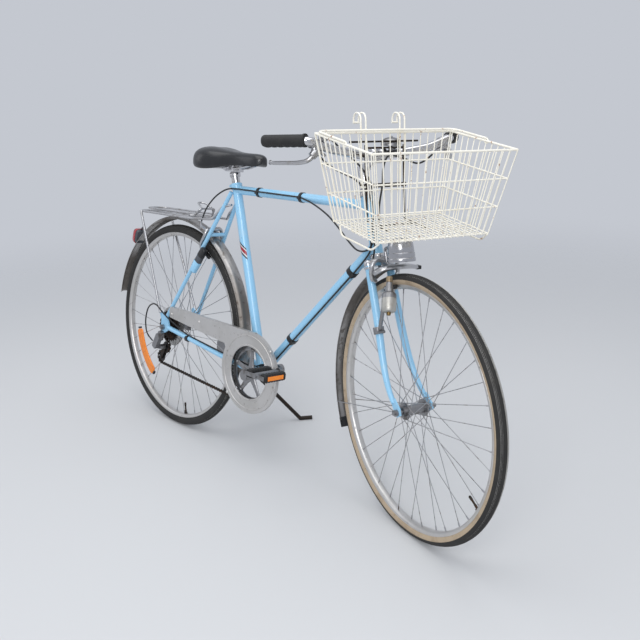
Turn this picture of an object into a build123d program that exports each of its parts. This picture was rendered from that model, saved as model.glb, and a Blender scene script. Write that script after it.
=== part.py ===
import os
from math import atan2, cos, degrees, hypot, pi, radians, sin, sqrt

from build123d import *

# Bicycle. Millimetres, +X forward, +Y to the rider's left, +Z up.
# Every piece is drawn upright, with the rear axle above the origin and the floor
# at zero. At the end the front assembly is turned about the steering axis, and
# the whole bicycle leans to its left on its side stand.

# Stance and frame geometry
wheelbase = 1060
rear_wheel_radius = 343
front_wheel_radius = 341
bottom_bracket_run = 452
bottom_bracket_height = 288
seat_angle = 72.2
head_angle = 70
fork_rake = 45
lean_angle = 8.4
steer_angle = -15.4

# Frame tubes
top_tube_height = 828.5
top_tube_radius = 13
down_tube_radius = 14.3
seat_tube_radius = 14.3
seat_tube_top = 842
head_tube_radius = 16.5
head_tube_length = 152
head_tube_station = 405
chain_stay_radius = 8
seat_stay_radius = 6.5
shell_radius = 20
shell_width = 68
tube_wall = 1.6
plate = 5

# Wheels
tyre_width = 31
tyre_height = 29
rim_width = 22
rim_depth = 12
rim_outer_radius = 315
rear_rim_outer_radius = 317
spoke_radius = 1
spoke_count = 36
spoke_cross_angle = 60
axle_radius = 4.8
clearance = 0.3
front_hub_width = 92
rear_hub_width = 122
flange_radius = 22

# Drive
chain_pitch = 12.7
ring_teeth = 48
sprocket_teeth = 24
pulley_teeth = 10
chain_line = 43
chain_width = 7.2
chain_height = 8.6
link_plate = 1.2
crank_length = 170
crank_angle = 17
pedal_width = 80
pedal_length = 84
guard_radius = 125
guard_opening = 80

over = 5


def pitch_radius(teeth):
    return chain_pitch / (2 * sin(pi / teeth))


ring_radius = pitch_radius(ring_teeth)
sprocket_radius = pitch_radius(sprocket_teeth)
pulley_radius = pitch_radius(pulley_teeth)
rear_axle = Vector(0, 0, rear_wheel_radius)
crank_centre = Vector(bottom_bracket_run, 0, bottom_bracket_height)
upright = Vector(0, 0, 1)

# Steering axis: it runs up and back, and the front axle lies the rake in front.
steer_direction = Vector(-cos(radians(head_angle)), 0, sin(radians(head_angle)))
steer_normal = Vector(sin(radians(head_angle)), 0, cos(radians(head_angle)))


def lowest_of_front_tyre(axle):
    """Lowest point of the front tyre once it is turned and leaned."""
    base = axle - steer_normal * fork_rake
    centre = (axle - base).rotate(Axis((0, 0, 0), steer_direction), steer_angle) + base
    centre = centre.rotate(Axis.X, -lean_angle)
    spin = Vector(0, 1, 0).rotate(Axis((0, 0, 0), steer_direction), steer_angle)
    spin = spin.rotate(Axis.X, -lean_angle)
    tube = tyre_width / 2
    return centre.Z - (front_wheel_radius - tube) * sqrt(1 - spin.Z ** 2) - tube


front_axle = Vector(wheelbase, 0, front_wheel_radius)
front_axle -= upright * (lowest_of_front_tyre(front_axle) / cos(radians(lean_angle)))
steer_foot = front_axle - steer_normal * fork_rake
steering_axis = Axis(steer_foot, steer_direction)


def station(along, forward=0, left=0):
    """A point beside the steering axis: along it, in front of it and to its left."""
    return steer_foot + steer_direction * along + steer_normal * forward + Vector(0, left, 0)


def steer_plane(along, forward=0, left=0):
    return Plane(origin=station(along, forward, left), x_dir=steer_normal, z_dir=steer_direction)


def station_at_height(height):
    return (height - steer_foot.Z) / steer_direction.Z


def seat_axis(height):
    """A point on the seat tube's axis at a height above the floor."""
    rise = height - bottom_bracket_height
    return crank_centre + Vector(-rise / (sin(radians(seat_angle)) / cos(radians(seat_angle))), 0, rise)


def round_tube(start, end, radius, far_radius=None):
    """Straight bar from one point to another, tapered if a far radius is given."""
    run = Vector(end) - Vector(start)
    with BuildPart() as bar:
        with BuildSketch(Plane(origin=start, z_dir=run)):
            Circle(radius)
        if far_radius is None:
            extrude(amount=run.length)
        else:
            with BuildSketch(Plane(origin=end, z_dir=run)):
                Circle(far_radius)
            loft(ruled=True)
    return bar.part


def wire(points, radius, bend, sides=0):
    """Bent rod along straight runs joined by arcs."""
    with BuildPart() as rod:
        with BuildLine() as route:
            FilletPolyline(*points, radius=bend)
        with BuildSketch(Plane(origin=route.line @ 0, z_dir=route.line % 0)):
            if sides:
                RegularPolygon(radius, sides)
            else:
                Circle(radius)
        sweep()
    return rod.part


def thin_rod(start, end, radius, sides=6):
    """Straight thin wire with flat facets."""
    run = Vector(end) - Vector(start)
    with BuildPart() as rod:
        with BuildSketch(Plane(origin=start, z_dir=run)):
            RegularPolygon(radius, sides)
        extrude(amount=run.length)
    return rod.part


def turned(profile, origin=(0, 0, 0)):
    """Solid turned about the line across the bicycle: (radius, left) points."""
    with BuildPart() as solid:
        with BuildSketch(Plane(origin=origin, x_dir=(0, 0, 1), z_dir=(1, 0, 0))):
            with BuildLine():
                Polyline(*[(radius, -left) for radius, left in profile], close=True)
            make_face()
        revolve(axis=Axis(origin, (0, 1, 0)))
    return solid.part


def both_sides(part):
    return [part, mirror(part, about=Plane.XZ)]


def fused(pieces):
    """One solid from pieces that run into each other."""
    body = pieces[0]
    for piece in pieces[1:]:
        body = body + piece
    return body


def guard_section(plane, radius, width, sag, wall):
    """Mudguard cross-section: a crowned strip."""
    with BuildSketch(plane) as section:
        with BuildLine():
            ThreePointArc((-width / 2, radius - sag), (0, radius), (width / 2, radius - sag))
            Line((width / 2, radius - sag), (width / 2 - wall, radius - sag))
            ThreePointArc(
                (width / 2 - wall, radius - sag), (0, radius - wall), (wall - width / 2, radius - sag)
            )
            Line((wall - width / 2, radius - sag), (-width / 2, radius - sag))
        make_face()
    return section.sketch


def mudguard(axle, radius, width, sag, wall, first_angle, last_angle):
    """Mudguard blade round an axle, between two angles above the forward direction."""
    turn = radians(first_angle)
    plane = Plane(origin=axle, x_dir=(0, 1, 0), z_dir=(sin(turn), 0, -cos(turn)))
    with BuildPart() as blade:
        add(guard_section(plane, radius, width, sag, wall))
        revolve(axis=Axis(axle, (0, -1, 0)), revolution_arc=last_angle - first_angle)
    return blade.part


def around(axle, radius, angle, left=0):
    """A point round an axle at an angle above the forward direction."""
    turn = radians(angle)
    return Vector(axle) + Vector(radius * cos(turn), left, radius * sin(turn))


frame_parts = {}
steering_parts = {}

# Main frame
head_bottom = station(head_tube_station)
head_top = station(head_tube_station + head_tube_length)
head_bore = 13.8
with BuildPart() as head_tube:
    with BuildSketch(steer_plane(head_tube_station)):
        Circle(head_tube_radius)
        Circle(head_bore, mode=Mode.SUBTRACT)
    extrude(amount=head_tube_length)
head_core = round_tube(head_bottom, head_top, head_tube_radius)

with BuildPart() as bottom_bracket:
    with BuildSketch(Plane(origin=crank_centre, x_dir=(0, 0, 1), z_dir=(1, 0, 0))):
        with BuildLine():
            Polyline(
                (9, shell_width / 2 + 3),
                (9, shell_width / 2 - 8),
                (17, shell_width / 2 - 8),
                (17, 8 - shell_width / 2),
                (9, 8 - shell_width / 2),
                (9, -shell_width / 2 - 3),
                (19, -shell_width / 2 - 3),
                (19, -shell_width / 2),
                (shell_radius, -shell_width / 2),
                (shell_radius, shell_width / 2),
                (19, shell_width / 2),
                (19, shell_width / 2 + 3),
                close=True,
            )
        make_face()
    revolve(axis=Axis(crank_centre, (0, 1, 0)))
shell_core = round_tube(
    crank_centre - Vector(0, shell_width / 2, 0), crank_centre + Vector(0, shell_width / 2, 0), shell_radius
)

stay_core = round_tube(
    crank_centre - Vector(0, shell_width, 0), crank_centre + Vector(0, shell_width, 0), shell_radius
)
seat_foot = crank_centre
seat_head = seat_axis(seat_tube_top)
with BuildPart() as seat_tube:
    with BuildSketch(Plane(origin=seat_foot, z_dir=seat_head - seat_foot)):
        Circle(seat_tube_radius)
    extrude(amount=(seat_head - seat_foot).length)
seat_core = seat_tube.part
seat_tube_part = seat_core - shell_core
seat_post_radius = 12.7
seat_post_insert = 90
seat_up = (seat_head - seat_foot).normalized()
seat_bore = round_tube(seat_head - seat_up * (seat_post_insert + 40), seat_head + seat_up * over, seat_post_radius)
seat_tube_part = seat_tube_part - seat_bore

top_tube_start = seat_axis(top_tube_height - 4)
top_tube_end = station(station_at_height(top_tube_height))
top_tube_part = round_tube(top_tube_start, top_tube_end, top_tube_radius) - seat_core - head_core
down_tube_end = station(station_at_height(729))
cup_core = round_tube(station(head_tube_station - 60), head_bottom, 24)
down_tube_part = round_tube(crank_centre, down_tube_end, down_tube_radius) - shell_core - head_core - seat_core
down_tube_part = down_tube_part - cup_core

# Rear triangle
drop_side = rear_hub_width / 2
stay_side = drop_side + plate / 2
dropout_outline = [
    (-16, 332),
    (6, 324),
    (32, 338),
    (32, 354),
    (18, 386),
    (2, 384),
    (-16, 396),
    (-24, 388),
    (-14, 366),
]
chain_stays = []
seat_stays = []
dropouts = []
for side in (-1, 1):
    stay = wire(
        [
            crank_centre + Vector(0, 27 * side, 0),
            Vector(340, 33 * side, 300),
            Vector(26, stay_side * side, 346),
        ],
        chain_stay_radius,
        120,
    )
    chain_stays.append(stay - stay_core)
    seat_stay = round_tube(
        seat_axis(816) + Vector(-9, 17 * side, 0), Vector(10, stay_side * side, 372), seat_stay_radius
    )
    seat_stays.append(seat_stay - seat_core)
    with BuildPart() as dropout:
        outer_face = drop_side + plate if side > 0 else -drop_side
        with BuildSketch(Plane(origin=(0, outer_face, 0), x_dir=(1, 0, 0), z_dir=(0, -1, 0))):
            with BuildLine():
                Polyline(*dropout_outline, close=True)
            make_face()
            with Locations((0, rear_wheel_radius)):
                Circle(axle_radius, mode=Mode.SUBTRACT)
        extrude(amount=plate)
    dropouts.append(dropout.part - chain_stays[-1] - seat_stays[-1])

bridge_height = 676
stay_slope = (bridge_height - 372) / (816 - 372)
bridge_left = stay_side + (17 - stay_side) * stay_slope
bridge_run = 10 + (seat_axis(816).X - 9 - 10) * stay_slope
brake_bridge = round_tube((bridge_run, -bridge_left, bridge_height), (bridge_run, bridge_left, bridge_height), 6)
seat_stay_frame = seat_stays[0] + seat_stays[1] + brake_bridge
frame_parts["head_tube"] = head_tube.part
frame_parts["top_tube"] = top_tube_part
frame_parts["down_tube"] = down_tube_part
frame_parts["seat_tube"] = seat_tube_part
frame_parts["bottom_bracket"] = bottom_bracket.part
frame_parts["chain_stays"] = Compound(children=chain_stays)
frame_parts["seat_stays"] = seat_stay_frame
frame_parts["dropouts"] = Compound(children=dropouts)

# Headset cups on the head tube, clear of the steerer
steerer_radius = 12.7
cup_height = 11
cup_radius = 19
with BuildPart() as headset:
    for along, height in ((head_tube_station - cup_height, cup_height),
                          (head_tube_station + head_tube_length, cup_height)):
        with BuildSketch(steer_plane(along)):
            Circle(cup_radius)
            Circle(steerer_radius + clearance, mode=Mode.SUBTRACT)
        extrude(amount=height)
frame_parts["headset"] = headset.part

# Seat post and saddle
saddle_run = 262
saddle_rail_height = 890
post_top = seat_axis(saddle_rail_height - 12)
with BuildPart() as seat_post:
    with BuildSketch(Plane(origin=seat_head - seat_up * seat_post_insert, z_dir=seat_up)):
        Circle(seat_post_radius)
    extrude(amount=(post_top - seat_head).length + seat_post_insert)
with BuildPart() as seat_clamp:
    with BuildSketch(Plane(origin=(seat_axis(saddle_rail_height).X, 0, saddle_rail_height - 12))):
        RectangleRounded(44, 46, 6)
    extrude(amount=20)
rail_left = 17
rail = wire(
    [
        (saddle_run - 98, rail_left + 28, saddle_rail_height + 22),
        (saddle_run - 70, rail_left, saddle_rail_height),
        (saddle_run + 40, rail_left, saddle_rail_height),
        (saddle_run + 112, 7, saddle_rail_height + 20),
    ],
    3.5,
    18,
)
rails = both_sides(rail)
clamp_body = seat_post.part + seat_clamp.part
for piece in rails:
    clamp_body = clamp_body - piece
frame_parts["seat_post"] = clamp_body
saddle_sections = [
    (-134, 62, 912, 936),
    (-118, 80, 908, 944),
    (-60, 78, 910, 947),
    (0, 44, 914, 942),
    (70, 24, 914, 938),
    (128, 18, 912, 934),
    (140, 11, 915, 929),
]
with BuildPart() as saddle:
    for run, half_width, low, high in saddle_sections:
        with BuildSketch(Plane(origin=(saddle_run + run, 0, (low + high) / 2), x_dir=(0, 1, 0), z_dir=(1, 0, 0))):
            RectangleRounded(2 * half_width, high - low, (high - low) * 0.42)
    loft(ruled=True)
frame_parts["saddle"] = saddle.part
frame_parts["saddle_rails"] = Compound(children=[piece - saddle.part for piece in rails])

# Rear mudguard, rack and lamp
mudguard_radius = 373
mudguard_width = 44
mudguard_sag = 11
mudguard_wall = 1.2
frame_parts["rear_mudguard"] = mudguard(
    rear_axle, mudguard_radius, mudguard_width, mudguard_sag, mudguard_wall, -12, 171
)
rack_height = 716
rack_rear = -182
rack_front = 196
rack_left = 58
rack_wire = 4.2
with BuildPart() as rack_deck:
    with BuildLine() as rack_route:
        FilletPolyline(
            (248, 20, 776),
            (rack_front, 30, rack_height + 10),
            (rack_front - 70, rack_left, rack_height + 6),
            (rack_rear, rack_left, rack_height),
            (rack_rear, -rack_left, rack_height),
            (rack_front - 70, -rack_left, rack_height + 6),
            (rack_front, -30, rack_height + 10),
            (248, -20, 776),
            radius=22,
        )
    with BuildSketch(Plane(origin=rack_route.line @ 0, z_dir=rack_route.line % 0)):
        Circle(rack_wire)
    sweep()
rack = rack_deck.part
for run in (-120, -40, 40, 110):
    rack = rack + round_tube((run, -rack_left, rack_height + 2), (run, rack_left, rack_height + 2), 3)
for side in (-1, 1):
    stay_foot = Vector(-14, (stay_side + 7) * side, 389)
    rack = rack + round_tube((rack_rear + 6, rack_left * side, rack_height), stay_foot, rack_wire)
frame_parts["rack"] = rack - seat_stay_frame

lamp_angle = 135.6
lamp_centre = around(rear_axle, mudguard_radius + 17, lamp_angle)
lamp_tilt = Plane(origin=lamp_centre, x_dir=(0, 1, 0), z_dir=(cos(radians(168)), 0, sin(radians(168))))
with BuildPart() as tail_lamp:
    with BuildSketch(lamp_tilt.offset(-16)):
        RectangleRounded(44, 54, 8)
    extrude(amount=28)
frame_parts["tail_lamp"] = tail_lamp.part - mudguard(
    rear_axle, mudguard_radius + 0.1, mudguard_width + 20, mudguard_sag, 30, 90, 171
)

# Chain guard
guard_lean = 0.0358
guard_plane = Plane(
    origin=(bottom_bracket_run, -55.5, bottom_bracket_height + 6),
    x_dir=(cos(guard_lean), sin(guard_lean), 0),
    z_dir=(sin(guard_lean), -cos(guard_lean), 0),
)
guard_wall = 1.6
guard_lip = 9
arm_outline = [(20, guard_radius), (-405, 128), (-412, 118), (-408, 92), (-285, 80), (-118, 66), (-90, 0), (0, 0)]
with BuildPart() as chain_guard:
    with BuildSketch(guard_plane) as guard_face:
        Circle(guard_radius)
        with BuildLine():
            Polyline(*arm_outline, close=True)
        make_face()
        Circle(guard_opening, mode=Mode.SUBTRACT)
    extrude(amount=guard_wall)
    with BuildSketch(guard_plane) as guard_rim:
        add(guard_face.sketch_local)
        offset(amount=-guard_wall, mode=Mode.SUBTRACT)
        Circle(guard_opening + 4, mode=Mode.SUBTRACT)
    extrude(amount=-guard_lip)
guard_body = chain_guard.part
for run, height, left in ((46, 401, -60), (335, 302, -41)):
    inner_face = guard_plane.origin.Y + (run - bottom_bracket_run) * sin(guard_lean) + 0.4
    guard_body = guard_body + round_tube((run, left, height), (run, inner_face - 1, height), 5)
frame_parts["chain_guard"] = guard_body - seat_stay_frame - chain_stays[0]

# Chain: two rows of link plates with a pin at each pitch, one fixed loop
jockey_centre = Vector(-14, 0, rear_wheel_radius - 72)
tension_centre = Vector(-36, 0, rear_wheel_radius - 114)
chain_left = -chain_line


def tangent_points(first, first_radius, second, second_radius, crossed=False):
    """Ends of the belt run from one wheel to the next, on the left of its travel."""
    dx = second.X - first.X
    dz = second.Z - first.Z
    reach = hypot(dx, dz)
    heading = atan2(dz, dx)
    far = -second_radius if crossed else second_radius
    swing = pi / 2 + 0.0
    lean = atan2(first_radius - far, sqrt(reach ** 2 - (first_radius - far) ** 2))
    normal = heading + swing - lean
    a = (first.X + first_radius * cos(normal), first.Z + first_radius * sin(normal))
    b = (second.X + far * cos(normal), second.Z + far * sin(normal))
    return a, b


# The loop runs over the sprocket forward to the ring, back under to the tension
# wheel, up its rear side, over the front of the jockey wheel and onto the sprocket.
wheels = [
    (rear_axle, sprocket_radius, 1),
    (crank_centre, ring_radius, 1),
    (tension_centre, pulley_radius, 1),
    (jockey_centre, pulley_radius, -1),
]
runs = []
for index, (centre, radius, way) in enumerate(wheels):
    following, following_radius, following_way = wheels[(index + 1) % len(wheels)]
    dx = following.X - centre.X
    dz = following.Z - centre.Z
    reach = hypot(dx, dz)
    heading = atan2(dz, dx)
    first_offset = radius * way
    second_offset = following_radius * following_way
    slant = atan2(first_offset - second_offset, sqrt(reach ** 2 - (first_offset - second_offset) ** 2))
    normal = heading + pi / 2 - slant
    runs.append(
        (
            (centre.X + first_offset * cos(normal), centre.Z + first_offset * sin(normal)),
            (following.X + second_offset * cos(normal), following.Z + second_offset * sin(normal)),
        )
    )


def middle_of_wrap(centre, radius, way, arrive, leave):
    """Middle point of the arc between two contact points, turning the given way."""
    start = atan2(arrive[1] - centre.Z, arrive[0] - centre.X)
    end = atan2(leave[1] - centre.Z, leave[0] - centre.X)
    sweep_angle = (start - end) % (2 * pi) if way > 0 else -((end - start) % (2 * pi))
    middle = start - sweep_angle / 2
    return (centre.X + radius * cos(middle), centre.Z + radius * sin(middle))


with BuildPart() as chain:
    for row in (-1, 1):
        inner = chain_left + row * (chain_width / 2 - link_plate)
        outer = chain_left + row * chain_width / 2
        with BuildSketch(Plane(origin=(0, max(inner, outer), 0), x_dir=(1, 0, 0), z_dir=(0, -1, 0))):
            with BuildLine() as loop:
                for index, (centre, radius, way) in enumerate(wheels):
                    arrive = runs[index - 1][1]
                    leave = runs[index][0]
                    ThreePointArc(arrive, middle_of_wrap(centre, radius, way, arrive, leave), leave)
                    Line(*runs[index])
            make_face()
            offset(amount=chain_height / 2, kind=Kind.ARC)
            with BuildLine():
                for index, (centre, radius, way) in enumerate(wheels):
                    arrive = runs[index - 1][1]
                    leave = runs[index][0]
                    ThreePointArc(arrive, middle_of_wrap(centre, radius, way, arrive, leave), leave)
                    Line(*runs[index])
            inside = make_face(mode=Mode.PRIVATE)
            offset(inside, amount=-chain_height / 2, kind=Kind.ARC, mode=Mode.SUBTRACT)
        extrude(amount=link_plate)
frame_parts["chain"] = chain.part

# Rear derailleur: hanger, knuckle, two cage plates and the two toothed wheels
cage_gap = 10
cage_wall = 1.5
with BuildPart() as derailleur:
    for left in (chain_left + cage_gap / 2 + cage_wall, chain_left - cage_gap / 2):
        with BuildSketch(Plane(origin=(0, left, 0), x_dir=(1, 0, 0), z_dir=(0, -1, 0))):
            with Locations(
                Location(
                    (
                        (jockey_centre.X + tension_centre.X) / 2,
                        (jockey_centre.Z + tension_centre.Z) / 2,
                        0,
                    ),
                    (
                        0,
                        0,
                        degrees(
                            atan2(jockey_centre.Z - tension_centre.Z, jockey_centre.X - tension_centre.X)
                        ),
                    ),
                )
            ):
                SlotCenterToCenter((jockey_centre - tension_centre).length, 15)
        extrude(amount=cage_wall)
    for centre in (jockey_centre, tension_centre):
        with BuildSketch(Plane(origin=(0, chain_left + cage_gap / 2, 0), x_dir=(1, 0, 0), z_dir=(0, -1, 0))):
            with Locations((centre.X, centre.Z)):
                Circle(5)
        extrude(amount=cage_gap)
        with BuildSketch(Plane(origin=(0, chain_left + 1.2, 0), x_dir=(1, 0, 0), z_dir=(0, -1, 0))):
            with Locations((centre.X, centre.Z)):
                Circle(pulley_radius - chain_height / 2 - 0.4)
        extrude(amount=2.4)
frame_parts["derailleur_cage"] = derailleur.part
knuckle_side = -(stay_side + plate / 2)
with BuildPart() as knuckle:
    with BuildSketch(Plane(origin=(0, knuckle_side - 0.05, 0), x_dir=(1, 0, 0), z_dir=(0, -1, 0))):
        with Locations(Location((-6, 312, 0), (0, 0, 75))):
            SlotOverall(36, 22)
    extrude(amount=12)
    with BuildSketch(Plane(origin=(0, knuckle_side - 3, 0), x_dir=(1, 0, 0), z_dir=(0, -1, 0))):
        with Locations(Location((-18, 292, 0), (0, 0, 62))):
            RectangleRounded(56, 22, 6)
    extrude(amount=15)
    with BuildSketch(Plane(origin=(0, chain_left - cage_gap / 2 - cage_wall, 0), x_dir=(1, 0, 0), z_dir=(0, -1, 0))):
        with Locations((jockey_centre.X, jockey_centre.Z)):
            Circle(9)
    extrude(amount=-(knuckle_side - 3 - chain_left + cage_gap / 2 + cage_wall))
frame_parts["derailleur_body"] = knuckle.part

# Rear brake: two arms hung on the bridge bolt, with a shoe beside each rim wall
rear_shoe_angle = 60
shoe_point = around(rear_axle, rear_rim_outer_radius - 5, rear_shoe_angle)
brake_bolt = Vector(bridge_run - 12, 0, bridge_height + 2)
arm_side = 31
rear_brake = round_tube(Vector(bridge_run - 24, 0, bridge_height + 5), Vector(bridge_run, 0, bridge_height + 5), 3.5)
for side in (-1, 1):
    arm = wire(
        [
            brake_bolt + Vector(-4 - 5 * side, -4 * side, 8),
            brake_bolt + Vector(-4 - 5 * side, arm_side * side, 4),
            Vector(shoe_point.X - 10, 29 * side, shoe_point.Z + 8),
            Vector(shoe_point.X, 18 * side, shoe_point.Z),
        ],
        4.2,
        9,
    )
    shoe_axis = Vector(-sin(radians(rear_shoe_angle)), 0, cos(radians(rear_shoe_angle)))
    with BuildPart() as shoe:
        with BuildSketch(Plane(origin=shoe_point + Vector(0, (rim_width / 2 + 2) * side, 0), x_dir=shoe_axis,
                               z_dir=(0, side, 0))):
            RectangleRounded(46, 10, 3)
        extrude(amount=8.5)
    rear_brake = rear_brake + arm + shoe.part
frame_parts["rear_brake"] = rear_brake - seat_stay_frame

# Frame lock on the right seat stay
lock_high = 640
lock_low = 560


def seat_stay_point(height, side):
    share = (height - 372) / (816 - 372)
    return Vector(10 + (seat_axis(816).X - 9 - 10) * share, (stay_side + (17 - stay_side) * share) * side, height)


lock_axis = seat_stay_point(lock_high, -1) - seat_stay_point(lock_low, -1)
with BuildPart() as lock:
    with BuildSketch(Plane(origin=seat_stay_point(lock_low, -1), x_dir=(0, 1, 0), z_dir=lock_axis)):
        with Locations((-12, 0)):
            RectangleRounded(23, 34, 6)
    extrude(amount=lock_axis.length)
frame_parts["wheel_lock"] = lock.part - seat_stays[0]

# Rear axle with its cones and nuts
cone_inner = drop_side - 8
frame_parts["rear_axle"] = turned(
    [
        (0, -drop_side - 18),
        (axle_radius, -drop_side - 18),
        (axle_radius, -drop_side - plate - 8),
        (9, -drop_side - plate - 8),
        (9, -drop_side - plate),
        (axle_radius, -drop_side - plate),
        (axle_radius, -drop_side),
        (8, -drop_side),
        (8, -cone_inner),
        (axle_radius, -cone_inner),
        (axle_radius, cone_inner),
        (8, cone_inner),
        (8, drop_side),
        (axle_radius, drop_side),
        (axle_radius, drop_side + plate),
        (9, drop_side + plate),
        (9, drop_side + plate + 8),
        (axle_radius, drop_side + plate + 8),
        (axle_radius, drop_side + 18),
        (0, drop_side + 18),
    ],
    rear_axle,
)


def tyre_solid(outer_radius, seat_radius, axle):
    """Tyre with a round tread and straight sidewalls down to the rim."""
    half = tyre_width / 2
    crown = half * 0.94
    centre_radius = outer_radius - half
    reach = half * sin(radians(62))
    with BuildPart() as tyre:
        with BuildSketch(Plane(origin=axle, x_dir=(0, 1, 0), z_dir=(-1, 0, 0))):
            with BuildLine():
                ThreePointArc(
                    (-crown, centre_radius), (0, outer_radius), (crown, centre_radius)
                )
                Polyline((crown, centre_radius), (rim_width / 2 - 1, seat_radius), (1 - rim_width / 2, seat_radius),
                         (-crown, centre_radius))
            make_face()
        revolve(axis=Axis(axle, (0, 1, 0)))
    return tyre.part


def rim_solid(outer_radius, axle):
    half = rim_width / 2
    return turned(
        [
            (outer_radius, -half),
            (outer_radius, half),
            (outer_radius - 8, half),
            (outer_radius - rim_depth, 5),
            (outer_radius - rim_depth, -5),
            (outer_radius - 8, -half),
        ],
        axle,
    )


def spoke_set(axle, rim_inner, right_flange, left_flange, hole_circle):
    """Wire spokes laced three across: every second one leads, the rest trail."""
    spokes = []
    per_side = spoke_count // 2
    step = 360 / per_side
    for side, flange in ((-1, right_flange), (1, left_flange)):
        for index in range(per_side):
            way = 1 if index % 2 else -1
            hole = step * index + (step / 2 if side > 0 else 0)
            start = around(axle, hole_circle, hole, side * flange + way * 1.2)
            end = around(axle, rim_inner - clearance, hole + way * spoke_cross_angle, side * 3 + way * 1.2)
            spokes.append(thin_rod(start, end, spoke_radius))
    return Compound(children=spokes)


def hub_solid(axle, right_flange, left_flange, right_end, left_end, barrel_radius):
    bore = axle_radius + clearance
    cup = 9
    return turned(
        [
            (bore, -right_end),
            (cup + 4, -right_end),
            (cup + 4, -right_flange - 1.5),
            (flange_radius, -right_flange - 1.5),
            (flange_radius, -right_flange + 1.5),
            (barrel_radius, -right_flange + 1.5),
            (barrel_radius, left_flange - 1.5),
            (flange_radius, left_flange - 1.5),
            (flange_radius, left_flange + 1.5),
            (cup + 4, left_flange + 1.5),
            (cup + 4, left_end),
            (bore, left_end),
        ],
        axle,
    )


front_flange = 28
front_wheel = {
    "front_tyre": tyre_solid(front_wheel_radius, rim_outer_radius, front_axle),
    "front_rim": rim_solid(rim_outer_radius, front_axle),
    "front_spokes": spoke_set(front_axle, rim_outer_radius - rim_depth, front_flange, front_flange, flange_radius + 1.6),
    "front_hub": hub_solid(front_axle, front_flange, front_flange, front_hub_width / 2 - 9, front_hub_width / 2 - 9, 13),
}
rear_right_flange = 21
rear_left_flange = 33
rear_wheel = {
    "rear_tyre": tyre_solid(rear_wheel_radius, rear_rim_outer_radius, rear_axle),
    "rear_rim": rim_solid(rear_rim_outer_radius, rear_axle),
    "rear_spokes": spoke_set(
        rear_axle, rear_rim_outer_radius - rim_depth, rear_right_flange, rear_left_flange, flange_radius + 1.6
    ),
    "rear_hub": hub_solid(rear_axle, rear_right_flange, rear_left_flange, drop_side - 28, 46, 15),
}

# Freewheel: five toothed wheels on a body, with a spoke protector disc behind
sprocket_step = 5
with BuildPart() as freewheel:
    with BuildSketch(Plane(origin=rear_axle - Vector(0, drop_side - 27.8, 0), x_dir=(1, 0, 0), z_dir=(0, -1, 0))):
        Circle(17)
        Circle(axle_radius + 5, mode=Mode.SUBTRACT)
    extrude(amount=26)
    for index, teeth in enumerate((28, 24, 20, 17, 14)):
        left = chain_left + (1 - index) * sprocket_step
        with BuildSketch(Plane(origin=rear_axle + Vector(0, left + 0.9, 0), x_dir=(1, 0, 0), z_dir=(0, -1, 0))):
            Circle(pitch_radius(teeth) - 4.6)
            Circle(14, mode=Mode.SUBTRACT)
        extrude(amount=1.8)
rear_wheel["freewheel"] = freewheel.part
with BuildPart() as protector:
    with BuildSketch(Plane(origin=rear_axle - Vector(0, rear_right_flange + 8, 0), x_dir=(1, 0, 0), z_dir=(0, -1, 0))):
        Circle(66)
        Circle(13.2, mode=Mode.SUBTRACT)
    extrude(amount=1.5)
rear_wheel["spoke_protector"] = protector.part

# Crank set, drawn with the right crank forward and level, then turned up
spindle_radius = 8.5
arm_inner = 61
arm_outer_flare = 8
arm_thick = 12
spindle = round_tube(
    crank_centre - Vector(0, arm_inner + 6, 0), crank_centre + Vector(0, arm_inner + 6, 0), spindle_radius
)


def crank_arm(side):
    """Arm from its boss to the pedal eye, leaning out on its way."""
    way = -side
    with BuildPart() as arm:
        for share, height in ((0, 30), (0.15, 24), (1, 19)):
            along = crank_length * share
            middle = arm_inner + arm_thick / 2 + arm_outer_flare * share
            with BuildSketch(Plane(origin=crank_centre + Vector(way * along, side * middle, 0), x_dir=(0, 1, 0),
                                   z_dir=(way, 0, 0))):
                RectangleRounded(arm_thick, height, 4)
        loft(ruled=True)
        for share, radius in ((0, 16), (1, 13)):
            middle = arm_inner + arm_outer_flare * share
            with BuildSketch(Plane(origin=crank_centre + Vector(way * crank_length * share, side * middle, 0),
                                   x_dir=(1, 0, 0), z_dir=(0, side, 0))):
                Circle(radius)
            extrude(amount=arm_thick + 2 - 2 * share)
    return arm.part - spindle


with BuildPart() as chainring:
    with BuildSketch(Plane(origin=crank_centre + Vector(0, chain_left + 1.2, 0), x_dir=(1, 0, 0), z_dir=(0, -1, 0))):
        Circle(ring_radius - 4.6)
        Circle(68, mode=Mode.SUBTRACT)
        with PolarLocations(0, 5):
            with Locations((40, 0)):
                RectangleRounded(64, 16, 3)
        Circle(22)
        Circle(spindle_radius, mode=Mode.SUBTRACT)
    extrude(amount=2.4)
    with BuildSketch(Plane(origin=crank_centre + Vector(0, chain_left - 1.2, 0), x_dir=(1, 0, 0), z_dir=(0, -1, 0))):
        Circle(18)
        Circle(spindle_radius, mode=Mode.SUBTRACT)
    extrude(amount=arm_inner - chain_line - 1.2)
pedal_spindle_inner = arm_inner + arm_outer_flare + arm_thick
crank_parts = {
    "crank_axle": spindle,
    "chainring": chainring.part,
    "crank_right": crank_arm(-1),
    "crank_left": crank_arm(1),
}


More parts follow.
